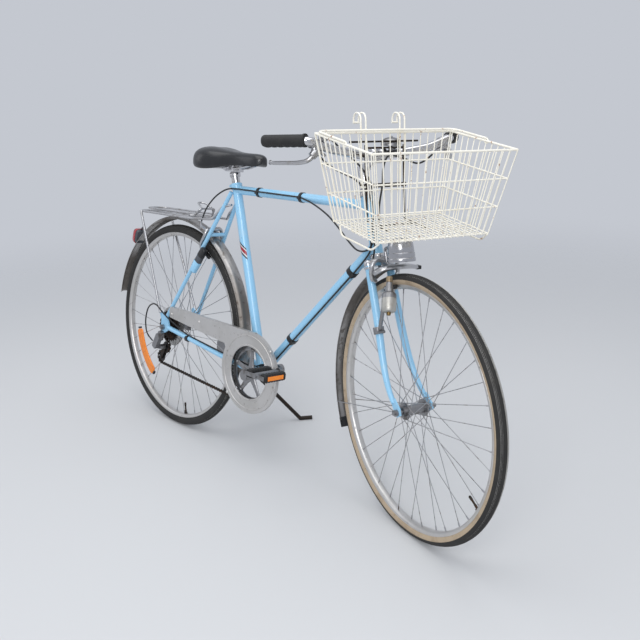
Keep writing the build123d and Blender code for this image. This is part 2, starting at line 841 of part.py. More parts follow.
def pedal_solid(side, centre):
    """Pedal: a tube, two end plates and two rubber blocks."""
    inner = pedal_spindle_inner + 4
    outer = inner + pedal_width
    pieces = []
    block_offset = pedal_length / 2 - 11
    with BuildPart() as pedal:
        with BuildSketch(Plane(origin=centre + Vector(0, side * inner, 0), x_dir=(1, 0, 0), z_dir=(0, side, 0))):
            Circle(9)
        extrude(amount=pedal_width)
        for along in (inner, outer - 4):
            with BuildSketch(Plane(origin=centre + Vector(0, side * along, 0), x_dir=(1, 0, 0), z_dir=(0, side, 0))):
                RectangleRounded(pedal_length - 6, 12, 4)
            extrude(amount=4)
        for run in (-block_offset, block_offset):
            with BuildSketch(Plane(origin=centre + Vector(run, side * inner, 0), x_dir=(1, 0, 0), z_dir=(0, side, 0))):
                RectangleRounded(22, 24, 5)
            extrude(amount=pedal_width)
        with BuildSketch(Plane(origin=centre + Vector(0, side * (inner - 5), 0), x_dir=(1, 0, 0), z_dir=(0, side, 0))):
            Circle(6 + clearance)
        extrude(amount=pedal_width - 12, mode=Mode.SUBTRACT)
    return pedal.part


pedal_rise = crank_length * sin(radians(crank_angle))
pedal_reach = crank_length * cos(radians(crank_angle))
pedal_centres = {
    "right": crank_centre + Vector(pedal_reach, 0, pedal_rise),
    "left": crank_centre - Vector(pedal_reach, 0, pedal_rise),
}
pedal_parts = {
    "pedal_right": pedal_solid(-1, pedal_centres["right"]),
    "pedal_left": pedal_solid(1, pedal_centres["left"]),
}
crank_axis = Axis(crank_centre, (0, -1, 0))
crank_parts = {name: part.rotate(crank_axis, crank_angle) for name, part in crank_parts.items()}
for side, name in ((-1, "right"), (1, "left")):
    centre = pedal_centres[name]
    spindle_end = round_tube(
        centre + Vector(0, side * (pedal_spindle_inner - 8), 0),
        centre + Vector(0, side * (pedal_spindle_inner + pedal_width - 18), 0),
        6,
    )
    crank_parts["crank_" + name] = crank_parts["crank_" + name] + spindle_end

# Side stand on the left chain stay, near the rear wheel
stand_pivot = Vector(190, 68, 300)


def from_floor(x, y, z):
    """A point of the leaning stance, brought back to the upright drawing."""
    return Vector(x, y, z).rotate(Axis.X, lean_angle)


stand_radius = 6.5
stand_bend = from_floor(318, 300, stand_radius)
stand_tip = from_floor(342, 334, stand_radius)
stand_down = (stand_bend - stand_pivot).normalized()
stand_folded = Vector(-1, 0.08, 0.03).normalized()
stand_hinge = (stand_down.cross(stand_folded).normalized() + (stand_down + stand_folded).normalized()).normalized()
knuckle_radius = 11
knuckle_half = 7
stand_pin_radius = 4
with BuildPart() as stand_knuckle:
    with BuildSketch(Plane(origin=stand_pivot - stand_hinge * knuckle_half, z_dir=stand_hinge)):
        Circle(knuckle_radius)
        Circle(stand_pin_radius + clearance, mode=Mode.SUBTRACT)
    extrude(amount=2 * knuckle_half)
leg_bar = round_tube(stand_pivot + stand_down * 8, stand_bend, stand_radius)
leg_foot = round_tube(stand_bend, stand_tip, stand_radius)
leg_ball = Sphere(stand_radius).move(Location(stand_bend))
kickstand = stand_knuckle.part + leg_bar + leg_foot + leg_ball
with BuildPart() as stand_bracket:
    with BuildSketch(Plane(origin=(190, 34, 300), x_dir=(1, 0, 0), z_dir=(0, 1, 0))):
        RectangleRounded(40, 50, 6)
    extrude(amount=20)
    boss_end = knuckle_half + clearance
    with BuildSketch(Plane(origin=stand_pivot - stand_hinge * 24, z_dir=stand_hinge)):
        Circle(knuckle_radius)
    extrude(amount=24 - boss_end)
    with BuildSketch(Plane(origin=stand_pivot - stand_hinge * boss_end, z_dir=stand_hinge)):
        Circle(stand_pin_radius)
    extrude(amount=boss_end + knuckle_half)
frame_parts["stand_bracket"] = stand_bracket.part - chain_stays[1]

# Fork: steerer, crown, two tapered blades and their tips
crown_top = head_tube_station - cup_height - 2
crown_height = 18
blade_left = 31
tip_left = front_hub_width / 2 + plate / 2
with BuildPart() as fork_steerer:
    with BuildSketch(steer_plane(crown_top - 4)):
        Circle(steerer_radius)
    extrude(amount=head_tube_length + 2 * cup_height + 2 + 6)
with BuildPart() as crown:
    with BuildSketch(steer_plane(crown_top)):
        RectangleRounded(34, 46, 12)
    with BuildSketch(steer_plane(crown_top - crown_height)):
        RectangleRounded(30, 2 * blade_left + 30, 14)
    loft(ruled=True)
    with BuildSketch(steer_plane(crown_top)):
        Circle(17)
    extrude(amount=2 - clearance)
blade_table = [
    (crown_top - crown_height + 2, 0, blade_left, 10.5),
    (300, 0, blade_left + 1, 10.5),
    (160, 1.5, 37.5, 9.5),
    (90, 9, 43, 8),
    (24, 34, tip_left, 6.5),
]
fork_body = fork_steerer.part + crown.part
for side in (-1, 1):
    with BuildPart() as blade:
        for index, (along, forward, left, radius) in enumerate(blade_table):
            before = blade_table[max(index - 1, 0)]
            after = blade_table[min(index + 1, len(blade_table) - 1)]
            heading = station(after[0], after[1], after[2] * side) - station(before[0], before[1], before[2] * side)
            with BuildSketch(Plane(origin=station(along, forward, left * side), z_dir=heading)):
                Circle(radius)
        loft()
    with BuildPart() as tip:
        outer_face = front_hub_width / 2 + plate if side > 0 else -front_hub_width / 2
        with BuildSketch(Plane(origin=(front_axle.X, outer_face, front_axle.Z), x_dir=steer_normal, z_dir=(0, -1, 0))):
            with BuildLine():
                Polyline((-20, 36), (-4, 36), (11, 8), (11, -8), (-4, -12), (-12, -4), close=True)
            make_face()
            Circle(axle_radius, mode=Mode.SUBTRACT)
        extrude(amount=plate)
    fork_body = fork_body + blade.part + tip.part
steering_parts["fork"] = fork_body
front_nut = front_hub_width / 2 + plate
front_cone = front_hub_width / 2 - 8
steering_parts["front_axle"] = turned(
    [
        (0, -front_nut - 12),
        (axle_radius, -front_nut - 12),
        (axle_radius, -front_nut - 7),
        (8.5, -front_nut - 7),
        (8.5, -front_nut),
        (axle_radius, -front_nut),
        (axle_radius, -front_hub_width / 2),
        (7, -front_hub_width / 2),
        (7, -front_cone),
        (axle_radius, -front_cone),
        (axle_radius, front_cone),
        (7, front_cone),
        (7, front_hub_width / 2),
        (axle_radius, front_hub_width / 2),
        (axle_radius, front_nut),
        (8.5, front_nut),
        (8.5, front_nut + 7),
        (axle_radius, front_nut + 7),
        (axle_radius, front_nut + 14),
        (0, front_nut + 14),
    ],
    front_axle,
)
steering_parts["front_mudguard"] = mudguard(
    front_axle, mudguard_radius - 1, 40, mudguard_sag, mudguard_wall, 119, 206
)

# Stem and handlebar
nut_station = head_tube_station + head_tube_length + cup_height + clearance
quill_radius = 11.1
stem_station = nut_station + 62
bar_forward = 78
bar_radius = 11.1
with BuildPart() as stem:
    with BuildSketch(steer_plane(nut_station)):
        Circle(17)
    extrude(amount=8)
    with BuildSketch(steer_plane(crown_top + head_tube_length + 2 * cup_height + 4)):
        Circle(quill_radius)
    extrude(amount=stem_station - crown_top - head_tube_length - 2 * cup_height - 4)
stem_top = station(stem_station)
bar_centre = station(stem_station + 12, bar_forward)
stem_arm = round_tube(station(stem_station - 6), bar_centre, 12.5, 11)
stem_cap = round_tube(station(stem_station - 18), station(stem_station + 6), 14)
bar_sleeve = round_tube(bar_centre - Vector(0, 21, 0), bar_centre + Vector(0, 21, 0), 16)
steering_parts["stem"] = (stem.part + stem_cap + stem_arm + bar_sleeve) - fork_steerer.part
grip_inner = Vector(896, 214, 999)
grip_outer = Vector(799, 276, 996)
bar_route = [
    bar_centre,
    bar_centre + Vector(2, 42, 1),
    Vector(893, 140, 975),
    grip_inner,
    grip_outer,
]
half_bar = wire(bar_route, bar_radius, [60, 60, 36])
handlebar_part = half_bar + mirror(half_bar, about=Plane.XZ)
steering_parts["stem"] = steering_parts["stem"] - handlebar_part
steering_parts["handlebar"] = handlebar_part
grip_run = grip_outer - grip_inner
grip_along = grip_run.normalized()
grip = round_tube(grip_inner + grip_along * 30, grip_outer + grip_along * 4, 15)
steering_parts["grips"] = Compound(
    children=[piece - handlebar_part for piece in both_sides(grip)]
)
lever_pivot = grip_inner + Vector(20, 14, -24)
lever_bracket = round_tube(grip_inner + Vector(0, -4, -2), lever_pivot + Vector(0, 0, -6), 8)
lever_blade = wire(
    [lever_pivot, lever_pivot + Vector(-10, 12, -24), Vector(806, 268, 944)],
    5,
    12,
)
steering_parts["brake_levers"] = Compound(
    children=[(piece - handlebar_part) for piece in both_sides(lever_bracket + lever_blade)]
)
with BuildPart() as bell:
    with BuildSketch(Plane(origin=(876, 66, 982), z_dir=(0, 0, 1))):
        Circle(26)
    extrude(amount=14)
    fillet(bell.faces().sort_by(Axis.Z)[-1].edges(), radius=10)
    with BuildSketch(Plane(origin=(876, 66, 982), z_dir=(0, 0, 1))):
        Circle(6)
    extrude(amount=-16)
steering_parts["bell"] = bell.part - handlebar_part

# Head lamp and dynamo
lamp_top = Vector(985, 0, 752)
with BuildPart() as head_lamp:
    with BuildSketch(Plane(origin=(990, 0, 706))):
        Circle(36)
    with BuildSketch(Plane(origin=(986, 0, 734))):
        Circle(33)
    with BuildSketch(Plane(origin=(983, 0, 752))):
        Circle(27)
    loft(ruled=True)
lamp_bracket = wire(
    [station(crown_top - 14, 39), station(crown_top + 20, 39), Vector(950, 0, 735), Vector(966, 0, 742)], 4, 8
)
steering_parts["head_lamp"] = head_lamp.part + lamp_bracket - fork_body
dynamo_axis = Vector(0.45, -0.3, -1).normalized()
roller_top = Vector(1002, -36, 668)
dynamo_body = round_tube(roller_top + dynamo_axis * 24, roller_top + dynamo_axis * 88, 19)
dynamo_roller = round_tube(roller_top, roller_top + dynamo_axis * 18, 10)
dynamo_neck = round_tube(roller_top + dynamo_axis * 18, roller_top + dynamo_axis * 24, 6)
clamp_point = station(210, 0, -35.5)
dynamo_arm = round_tube(clamp_point, roller_top + dynamo_axis * 60, 6)
dynamo_band = round_tube(clamp_point - steer_direction * 8, clamp_point + steer_direction * 8, 14)
steering_parts["dynamo"] = (dynamo_body + dynamo_roller + dynamo_neck + dynamo_arm + dynamo_band) - fork_body

# Front brake on the crown bolt
front_brake = round_tube(station(crown_top - 14, 10), station(crown_top - 14, 34.8), 4)
front_shoe_angle = 107
shoe_front = around(front_axle, rim_outer_radius - 5, front_shoe_angle)
for side in (-1, 1):
    arm = wire(
        [
            station(crown_top - 14, 25 + 5 * side, -5 * side),
            station(crown_top - 10, 25 + 5 * side, 33 * side),
            shoe_front + Vector(8, 33 * side, 6),
            shoe_front + Vector(0, 18 * side, 0),
        ],
        4.2,
        9,
    )
    shoe_axis = Vector(-sin(radians(front_shoe_angle)), 0, cos(radians(front_shoe_angle)))
    with BuildPart() as shoe:
        with BuildSketch(Plane(origin=shoe_front + Vector(0, (rim_width / 2 + 2) * side, 0), x_dir=shoe_axis,
                               z_dir=(0, side, 0))):
            RectangleRounded(46, 10, 3)
        extrude(amount=8.5)
    front_brake = front_brake + arm + shoe.part
steering_parts["front_brake"] = front_brake - fork_body

# Wire basket: four walls, a floor and its bearer
basket_tilt = radians(-8.3)
basket_rear = Vector(912, 0, 1015)
basket_foot = Vector(930, 0, 806)
basket_depth = 253
basket_width = 396
floor_depth = 192
floor_width = 311
basket_along = Vector(cos(basket_tilt), 0, sin(basket_tilt))
rim_wire = 2.6
bar_wire = 1.3


def basket_point(depth_share, side, rise_share):
    """Point on the basket: 0 to 1 from rear to front, -1 to 1 across, 0 to 1 up."""
    top = basket_rear + basket_along * (basket_depth * depth_share) + Vector(0, side * basket_width / 2, 0)
    low = basket_foot + basket_along * (floor_depth * depth_share) + Vector(0, side * floor_width / 2, 0)
    return low + (top - low) * rise_share


wall_ends = {
    "basket_rear": ((0, -1), (0, 1)),
    "basket_front": ((1, -1), (1, 1)),
    "basket_right": ((0, -1), (1, -1)),
    "basket_left": ((0, 1), (1, 1)),
}
ring_shares = (0.33, 0.66)
wall_bars = {"basket_rear": 13, "basket_front": 13, "basket_right": 9, "basket_left": 9}
for name, (first, last) in wall_ends.items():
    inset = 0.012

    def along_wall(share, rise):
        depth = first[0] + (last[0] - first[0]) * share
        side = first[1] + (last[1] - first[1]) * share
        return basket_point(depth, side, rise)

    start, end = (0.02, 0.98) if name in ("basket_right", "basket_left") else (0, 1)
    wall = thin_rod(along_wall(start, 1), along_wall(end, 1), rim_wire)
    for rise in ring_shares:
        wall = wall + thin_rod(along_wall(start, rise), along_wall(end, rise), bar_wire * 1.3)
    count = wall_bars[name]
    for index in range(count):
        share = start + (end - start) * (index + 0.5) / count
        wall = wall + thin_rod(along_wall(share, 0.02), along_wall(share, 1), bar_wire)
    wall = wall + thin_rod(along_wall(start, 0.02), along_wall(end, 0.02), bar_wire * 1.3)
    steering_parts[name] = wall
floor_mesh = thin_rod(basket_point(0.03, -1, 0), basket_point(0.03, 1, 0), bar_wire * 1.3)
for index in range(1, 8):
    share = index / 8 + 0.03
    floor_mesh = floor_mesh + thin_rod(basket_point(share, -0.98, 0), basket_point(share, 0.98, 0), bar_wire)
for index in range(11):
    side = -0.95 + 1.9 * index / 10
    floor_mesh = floor_mesh + thin_rod(basket_point(0.02, side, 0), basket_point(0.98, side, 0), bar_wire)
steering_parts["basket_floor"] = floor_mesh
bearer = []
for side in (-1, 1):
    bearer.append(
        wire(
            [
                bar_centre + Vector(14, 34 * side, 10),
                Vector(904, 34 * side, 960),
                Vector(912, 34 * side, 800),
                Vector(1010, 34 * side, 786),
            ],
            3,
            12,
        )
    )
steering_parts["basket_bearer"] = Compound(children=[piece - handlebar_part for piece in bearer])

# Place every body and write it
bodies = {
    "frame": frame_parts,
    "steering": steering_parts,
    "front_wheel": front_wheel,
    "rear_wheel": rear_wheel,
    "crank_set": {k: v for k, v in crank_parts.items()},
    "pedal_right": {"pedal_right": pedal_parts["pedal_right"]},
    "pedal_left": {"pedal_left": pedal_parts["pedal_left"]},
    "stand": {"kickstand": kickstand},
}
turned_bodies = ("steering", "front_wheel")
placed = {}
for body, parts in bodies.items():
    for name, part in parts.items():
        solids = part.solids()
        part = Compound(solids) if len(solids) > 1 else solids[0]
        if body in turned_bodies:
            part = part.rotate(steering_axis, steer_angle)
        placed[name] = part.rotate(Axis.X, -lean_angle)
box = Compound([solid for part in placed.values() for solid in part.solids()]).bounding_box()
origin_shift = Vector(-(box.min.X + box.max.X) / 2, -(box.min.Y + box.max.Y) / 2, -box.min.Z)
os.makedirs("parts", exist_ok=True)
for name, part in placed.items():
    part = part.moved(Location(origin_shift))
    part.label = name
    export_step(part, "parts/" + name + ".step")
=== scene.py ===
import math

import bpy
import numpy as np
from mathutils import Matrix, Vector


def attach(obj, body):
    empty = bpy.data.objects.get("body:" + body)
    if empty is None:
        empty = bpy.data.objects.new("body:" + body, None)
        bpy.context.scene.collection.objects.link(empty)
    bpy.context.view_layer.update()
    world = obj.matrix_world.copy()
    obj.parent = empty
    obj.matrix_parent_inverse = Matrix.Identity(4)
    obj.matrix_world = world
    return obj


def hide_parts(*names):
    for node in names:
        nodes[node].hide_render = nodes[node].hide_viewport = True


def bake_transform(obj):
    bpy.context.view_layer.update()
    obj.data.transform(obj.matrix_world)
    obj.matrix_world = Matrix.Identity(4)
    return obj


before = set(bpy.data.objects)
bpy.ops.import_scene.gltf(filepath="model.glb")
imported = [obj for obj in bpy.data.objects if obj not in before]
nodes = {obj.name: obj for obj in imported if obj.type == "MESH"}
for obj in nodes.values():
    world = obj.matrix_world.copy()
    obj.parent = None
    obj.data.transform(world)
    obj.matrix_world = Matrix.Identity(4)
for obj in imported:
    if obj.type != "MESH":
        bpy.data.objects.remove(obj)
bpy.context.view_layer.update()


def vec(*numbers):
    return np.array(numbers, float)


def unit(vector):
    return vector / np.linalg.norm(vector)


def linked(name, data):
    """New object in the scene."""
    obj = bpy.data.objects.new(name, data)
    bpy.context.scene.collection.objects.link(obj)
    return obj


# Stance, repeated from the part's source: millimetres, drawn upright
LEFT = vec(0, 1, 0)
LEAN = math.radians(8.4)
STEER = math.radians(-15.4)
SHIFT = vec(-510.374, -137.607, 0.1566)
STEER_FOOT = vec(1017.714, 0, 327.667)
STEER_UP = vec(-0.34202, 0, 0.939693)
STEER_FORE = vec(0.939693, 0, 0.34202)
FRONT_AXLE = vec(1060, 0, 343.058)
REAR_AXLE = vec(0, 0, 343)
CRANK = vec(452, 0, 288)


def turned(axis, angle):
    return np.array(Matrix.Rotation(angle, 3, Vector(axis)), float)


LEAN_TURN = turned((1, 0, 0), -LEAN)
STEER_TURN = turned(STEER_UP, STEER)


def placed(points, steered=False):
    """Upright drawing points in millimetres to the row frame in metres."""
    p = np.asarray(points, float).reshape(-1, 3)
    if steered:
        p = (STEER_TURN @ (p - STEER_FOOT).T).T + STEER_FOOT
    return ((LEAN_TURN @ p.T).T + SHIFT) / 1000.0


def station(along, forward=0.0, left=0.0):
    """Point beside the steering axis, by its height along the axis."""
    return STEER_FOOT + STEER_UP * along + STEER_FORE * forward + LEFT * left


def ray(angle):
    """Unit vector in a wheel's plane, in degrees up from forward."""
    a = math.radians(angle)
    return vec(math.cos(a), 0, math.sin(a))


def around(axle, radius, angle, left=0.0):
    return axle + radius * ray(angle) + left * LEFT


def both_sides(half):
    """Outline of radius and place along an axis, from the half on its negative side."""
    return half + [(r, -s) for r, s in half[::-1]]


def mirrored(way, *points):
    """Points drawn on the left, or on the right for way -1."""
    return [vec(x, y * way, z) for x, y, z in points]


# Camera, from the photograph's angle
AZIMUTH, ELEVATION, ROLL = math.radians(47.472), math.radians(17.178), math.radians(-2.068)
CAMERA_AT = vec(2288.169, -1397.412, 1163.334)
IMAGE_PX = 640
FOCAL_PX = 814.544
SENSOR = 36

side = vec(math.cos(AZIMUTH), math.sin(AZIMUTH), 0)
forth = vec(-side[1] * math.cos(ELEVATION), side[0] * math.cos(ELEVATION), -math.sin(ELEVATION))
over = np.cross(side, forth)
view_axes = (math.cos(ROLL) * side + math.sin(ROLL) * over, math.cos(ROLL) * over - math.sin(ROLL) * side,
             -forth, (CAMERA_AT + SHIFT) / 1000)
view = Matrix.Identity(4)
for row in range(3):
    for column, axis in enumerate(view_axes):
        view[row][column] = axis[row]
camera_data = bpy.data.cameras.new("camera")
camera_data.sensor_width = SENSOR
camera_data.lens = FOCAL_PX / IMAGE_PX * SENSOR
camera_data.clip_start = 0.05
camera = linked("camera", camera_data)
camera.matrix_world = view
bpy.context.scene.camera = camera


# Materials
def rgb(red, green, blue):
    """Screen colour 0-255 to linear, with alpha."""
    linear = []
    for c in (red / 255, green / 255, blue / 255):
        linear.append(c / 12.92 if c <= 0.04045 else ((c + 0.055) / 1.055) ** 2.4)
    return (*linear, 1)


def look(name, tone, rough, metal=0.0, coat=0.0, alpha=1.0, patches=(), grain=None, detail=2,
         stretch=(1, 1, 1), ribs=None):
    """Node material: a base tone, patches of noise over it, and grain or ribs as bump.

    A patch is: scale, low, high, tone, roughness or None, amount, seed.
    Grain is: scale, depth. Ribs are: scale, depth, axis.
    """
    material = bpy.data.materials.new(name)
    material.use_nodes = True
    tree = material.node_tree
    shader = tree.nodes["Principled BSDF"].inputs
    shader["Metallic"].default_value = metal
    shader["Coat Weight"].default_value = coat
    shader["Alpha"].default_value = alpha
    where = tree.nodes.new("ShaderNodeTexCoord").outputs["Object"]

    def feed(value, socket):
        """Link an output, or set on the socket what is the same all over."""
        if isinstance(value, bpy.types.NodeSocket):
            tree.links.new(value, socket)
        else:
            socket.default_value = value

    def noise(scale, detail, share, seed, stretch=(1, 1, 1)):
        mapping = tree.nodes.new("ShaderNodeMapping")
        mapping.inputs["Location"].default_value = (seed, seed * 1.7, -seed)
        mapping.inputs["Scale"].default_value = stretch
        feed(where, mapping.inputs["Vector"])
        texture = tree.nodes.new("ShaderNodeTexNoise")
        texture.inputs["Scale"].default_value = scale
        texture.inputs["Detail"].default_value = detail
        texture.inputs["Roughness"].default_value = share
        feed(mapping.outputs[0], texture.inputs["Vector"])
        return texture.outputs["Fac"]

    def patched(kind, under, over_it, factor):
        mix = tree.nodes.new("ShaderNodeMix")
        mix.data_type = kind
        feed(factor, mix.inputs["Factor"])
        feed(under, mix.inputs["A"])
        feed(over_it, mix.inputs["B"])
        return mix.outputs["Result"]

    color = rgb(*tone)
    for scale, low, high, patch_tone, patch_rough, amount, seed in patches:
        ramp = tree.nodes.new("ShaderNodeMapRange")
        ramp.interpolation_type = "SMOOTHSTEP"
        ramp.inputs["From Min"].default_value = low
        ramp.inputs["From Max"].default_value = high
        ramp.inputs["To Max"].default_value = amount
        feed(noise(scale, 4, 0.6, seed), ramp.inputs["Value"])
        factor = ramp.outputs["Result"]
        color = patched("RGBA", color, rgb(*patch_tone), factor)
        if patch_rough is not None:
            rough = patched("FLOAT", rough, patch_rough, factor)
    feed(color, shader["Base Color"])
    feed(rough, shader["Roughness"])
    if grain:
        scale, depth = grain
        height = noise(scale, detail, 0.5, 3, stretch)
    elif ribs:
        scale, depth, axis = ribs
        wave = tree.nodes.new("ShaderNodeTexWave")
        wave.bands_direction = axis
        wave.inputs["Scale"].default_value = scale
        feed(where, wave.inputs["Vector"])
        height = wave.outputs["Fac"]
    else:
        return material
    bump = tree.nodes.new("ShaderNodeBump")
    bump.inputs["Distance"].default_value = depth
    feed(height, bump.inputs["Height"])
    feed(bump.outputs[0], shader["Normal"])
    return material


RUST = (105, 66, 40)

enamel = look("enamel_blue", (145, 197, 229), 0.28, coat=0.4, grain=(900, 0.00006), patches=(
    (6, 0.45, 0.75, (134, 188, 220), None, 0.6, 2),
    (28, 0.56, 0.72, (168, 202, 220), 0.5, 0.45, 5),
    (90, 0.70, 0.74, RUST, 0.7, 0.9, 9),
    (240, 0.69, 0.73, (60, 58, 56), 0.7, 0.8, 11)))
chrome = look("chrome_worn", (205, 205, 208), 0.14, metal=1, grain=(600, 0.00004), patches=(
    (20, 0.5, 0.75, (165, 160, 154), 0.38, 0.7, 4),
    (140, 0.64, 0.72, RUST, 0.75, 0.75, 6)))
steel = look("steel_dull", (150, 150, 152), 0.36, metal=1, grain=(700, 0.00008), patches=(
    (30, 0.48, 0.72, (98, 92, 86), 0.6, 0.7, 3),
    (150, 0.62, 0.72, RUST, 0.8, 0.6, 8)))
bright_steel = look("steel_bright", (190, 190, 192), 0.28, metal=1, grain=(700, 0.00006), patches=(
    (40, 0.5, 0.72, (140, 134, 126), 0.5, 0.6, 3),
    (150, 0.65, 0.72, RUST, 0.8, 0.5, 8)))
dark_steel = look("steel_dark_greasy", (52, 46, 42), 0.5, metal=0.75, grain=(700, 0.0001), patches=(
    (60, 0.5, 0.7, (88, 62, 46), 0.8, 0.7, 3),))
pale_steel = look("pale_steel", (186, 184, 178), 0.4, metal=0.8, grain=(600, 0.00008), patches=(
    (50, 0.5, 0.7, (140, 132, 120), 0.6, 0.6, 0),))
spoke_steel = look("spoke_steel", (176, 176, 178), 0.3, metal=1, grain=(800, 0.00003), patches=(
    (60, 0.5, 0.7, (110, 96, 84), 0.6, 0.7, 5),))
aluminium = look("aluminium_aged", (206, 204, 202), 0.38, metal=0.9, grain=(260, 0.00006), stretch=(1, 1, 8),
                 patches=((9, 0.42, 0.7, (186, 184, 180), 0.5, 0.6, 7),
                          (70, 0.6, 0.74, (112, 106, 100), 0.6, 0.5, 13)))
mudguard_grey = look("mudguard_aged", (168, 166, 164), 0.3, metal=0.9, grain=(500, 0.00006), patches=(
    (5, 0.42, 0.62, (104, 96, 88), 0.55, 0.75, 17),
    (60, 0.55, 0.7, (82, 70, 60), 0.65, 0.6, 19)))
lamp_silver = look("lamp_silver", (182, 182, 185), 0.18, metal=1, grain=(400, 0.00005), patches=(
    (20, 0.48, 0.72, (140, 140, 142), 0.4, 0.6, 4),
    (140, 0.66, 0.72, RUST, 0.7, 0.5, 5)))
reflector_silver = look("reflector_silver", (214, 214, 214), 0.22, metal=1, grain=(300, 0.00004), patches=(
    (60, 0.5, 0.7, (170, 170, 172), None, 0.5, 0),))
lamp_glass = look("lamp_glass", (230, 234, 236), 0.12, coat=0.4, alpha=0.6, ribs=(90, 0.0005, "Y"))
knurled_tan = look("knurled_tan", (150, 132, 106), 0.45, metal=0.7, grain=(900, 0.0001), patches=(
    (80, 0.5, 0.7, (104, 84, 62), 0.7, 0.6, 0),))
brass = look("brass_terminal", (126, 104, 66), 0.45, metal=0.9, patches=(
    (90, 0.5, 0.7, (120, 92, 52), 0.6, 0.6, 0),))
black_vinyl = look("black_vinyl", (22, 23, 26), 0.3, coat=0.2, grain=(900, 0.00018), detail=3, patches=(
    (14, 0.45, 0.7, (34, 35, 39), 0.44, 0.7, 3),))
tyre_black = look("tyre_black", (34, 33, 32), 0.72, grain=(900, 0.0002), patches=(
    (30, 0.45, 0.7, (52, 50, 47), 0.85, 0.7, 3),))
tyre_tan = look("tyre_tan", (176, 158, 134), 0.7, grain=(1100, 0.0002), patches=(
    (18, 0.45, 0.68, (150, 132, 110), 0.8, 0.7, 3),
    (120, 0.6, 0.72, (84, 72, 60), 0.85, 0.6, 6)))
tyre_lines = look("tyre_lines", (176, 174, 170), 0.8, patches=(
    (60, 0.5, 0.7, (110, 108, 104), None, 0.7, 0),))
rubber = look("black_rubber", (24, 24, 25), 0.55, grain=(700, 0.00018), patches=(
    (40, 0.45, 0.7, (42, 41, 40), 0.75, 0.6, 3),))
black_plastic = look("black_plastic", (26, 27, 29), 0.4, grain=(500, 0.00008), patches=(
    (40, 0.5, 0.7, (48, 48, 50), 0.6, 0.5, 3),))
grey_plastic = look("grey_plastic", (70, 74, 80), 0.45, grain=(500, 0.0001), patches=(
    (30, 0.5, 0.7, (52, 54, 58), None, 0.6, 0),))
smoke_plastic = look("smoke_plastic", (96, 94, 90), 0.3, alpha=0.45, grain=(300, 0.0001), patches=(
    (20, 0.45, 0.7, (70, 66, 62), 0.5, 0.6, 0),))
cable_black = look("cable_cover_black", (24, 25, 27), 0.42, grain=(900, 0.00005), patches=(
    (60, 0.5, 0.7, (52, 52, 54), 0.6, 0.5, 0),))
cream = look("cream_coating", (242, 238, 226), 0.42, coat=0.15, grain=(700, 0.0001), patches=(
    (16, 0.5, 0.72, (226, 216, 192), 0.55, 0.5, 3),
    (60, 0.63, 0.70, (150, 98, 52), 0.8, 0.85, 6)))
red_lens = look("red_lens", (176, 22, 34), 0.16, coat=0.5, ribs=(160, 0.0004, "Z"), patches=(
    (40, 0.5, 0.7, (90, 10, 12), None, 0.6, 0),))
orange_plastic = look("orange_reflector", (250, 140, 28), 0.25, coat=0.4, ribs=(140, 0.0005, "X"), patches=(
    (60, 0.5, 0.7, (226, 112, 18), None, 0.6, 0),))
black_film = look("film_black", (28, 28, 30), 0.35,
                  patches=((80, 0.62, 0.72, (120, 150, 168), None, 0.5, 0),))
white_film = look("film_white", (222, 222, 220), 0.35,
                  patches=((80, 0.62, 0.72, (150, 160, 168), None, 0.5, 0),))
red_film = look("film_red", (152, 28, 42), 0.32, patches=((80, 0.62, 0.72, (140, 40, 40), None, 0.5, 0),))

CAD_LOOKS = {
    enamel: "head_tube top_tube down_tube seat_tube bottom_bracket chain_stays seat_stays fork dropouts",
    bright_steel: "rack",
    chrome: "headset seat_post stem handlebar bell brake_levers saddle_rails head_lamp",
    steel: "stand_bracket front_axle rear_axle front_hub rear_hub chainring crank_axle crank_right "
           "crank_left rear_brake front_brake derailleur_body dynamo",
    dark_steel: "kickstand chain freewheel derailleur_cage",
    aluminium: "chain_guard front_rim rear_rim",
    mudguard_grey: "rear_mudguard front_mudguard",
    spoke_steel: "front_spokes rear_spokes",
    black_vinyl: "saddle",
    tyre_black: "front_tyre rear_tyre",
    rubber: "grips pedal_right pedal_left",
    red_lens: "tail_lamp",
    grey_plastic: "wheel_lock",
    smoke_plastic: "spoke_protector",
    cream: "basket_rear basket_front basket_right basket_left basket_floor basket_bearer",
}
for material, names in CAD_LOOKS.items():
    for name in names.split():
        nodes[name].data.materials.clear()
        nodes[name].data.materials.append(material)


# Mesh helpers
def flat_frame(axis):
    """Two unit vectors square to an axis."""
    helper = vec(0, 0, 1) if abs(axis[2]) < 0.9 else vec(1, 0, 0)
    u = unit(np.cross(axis, helper))
    return u, np.cross(axis, u)


def circle(steps):
    a = np.linspace(0, 2 * math.pi, steps, endpoint=False)
    return np.cos(a)[:, None], np.sin(a)[:, None]


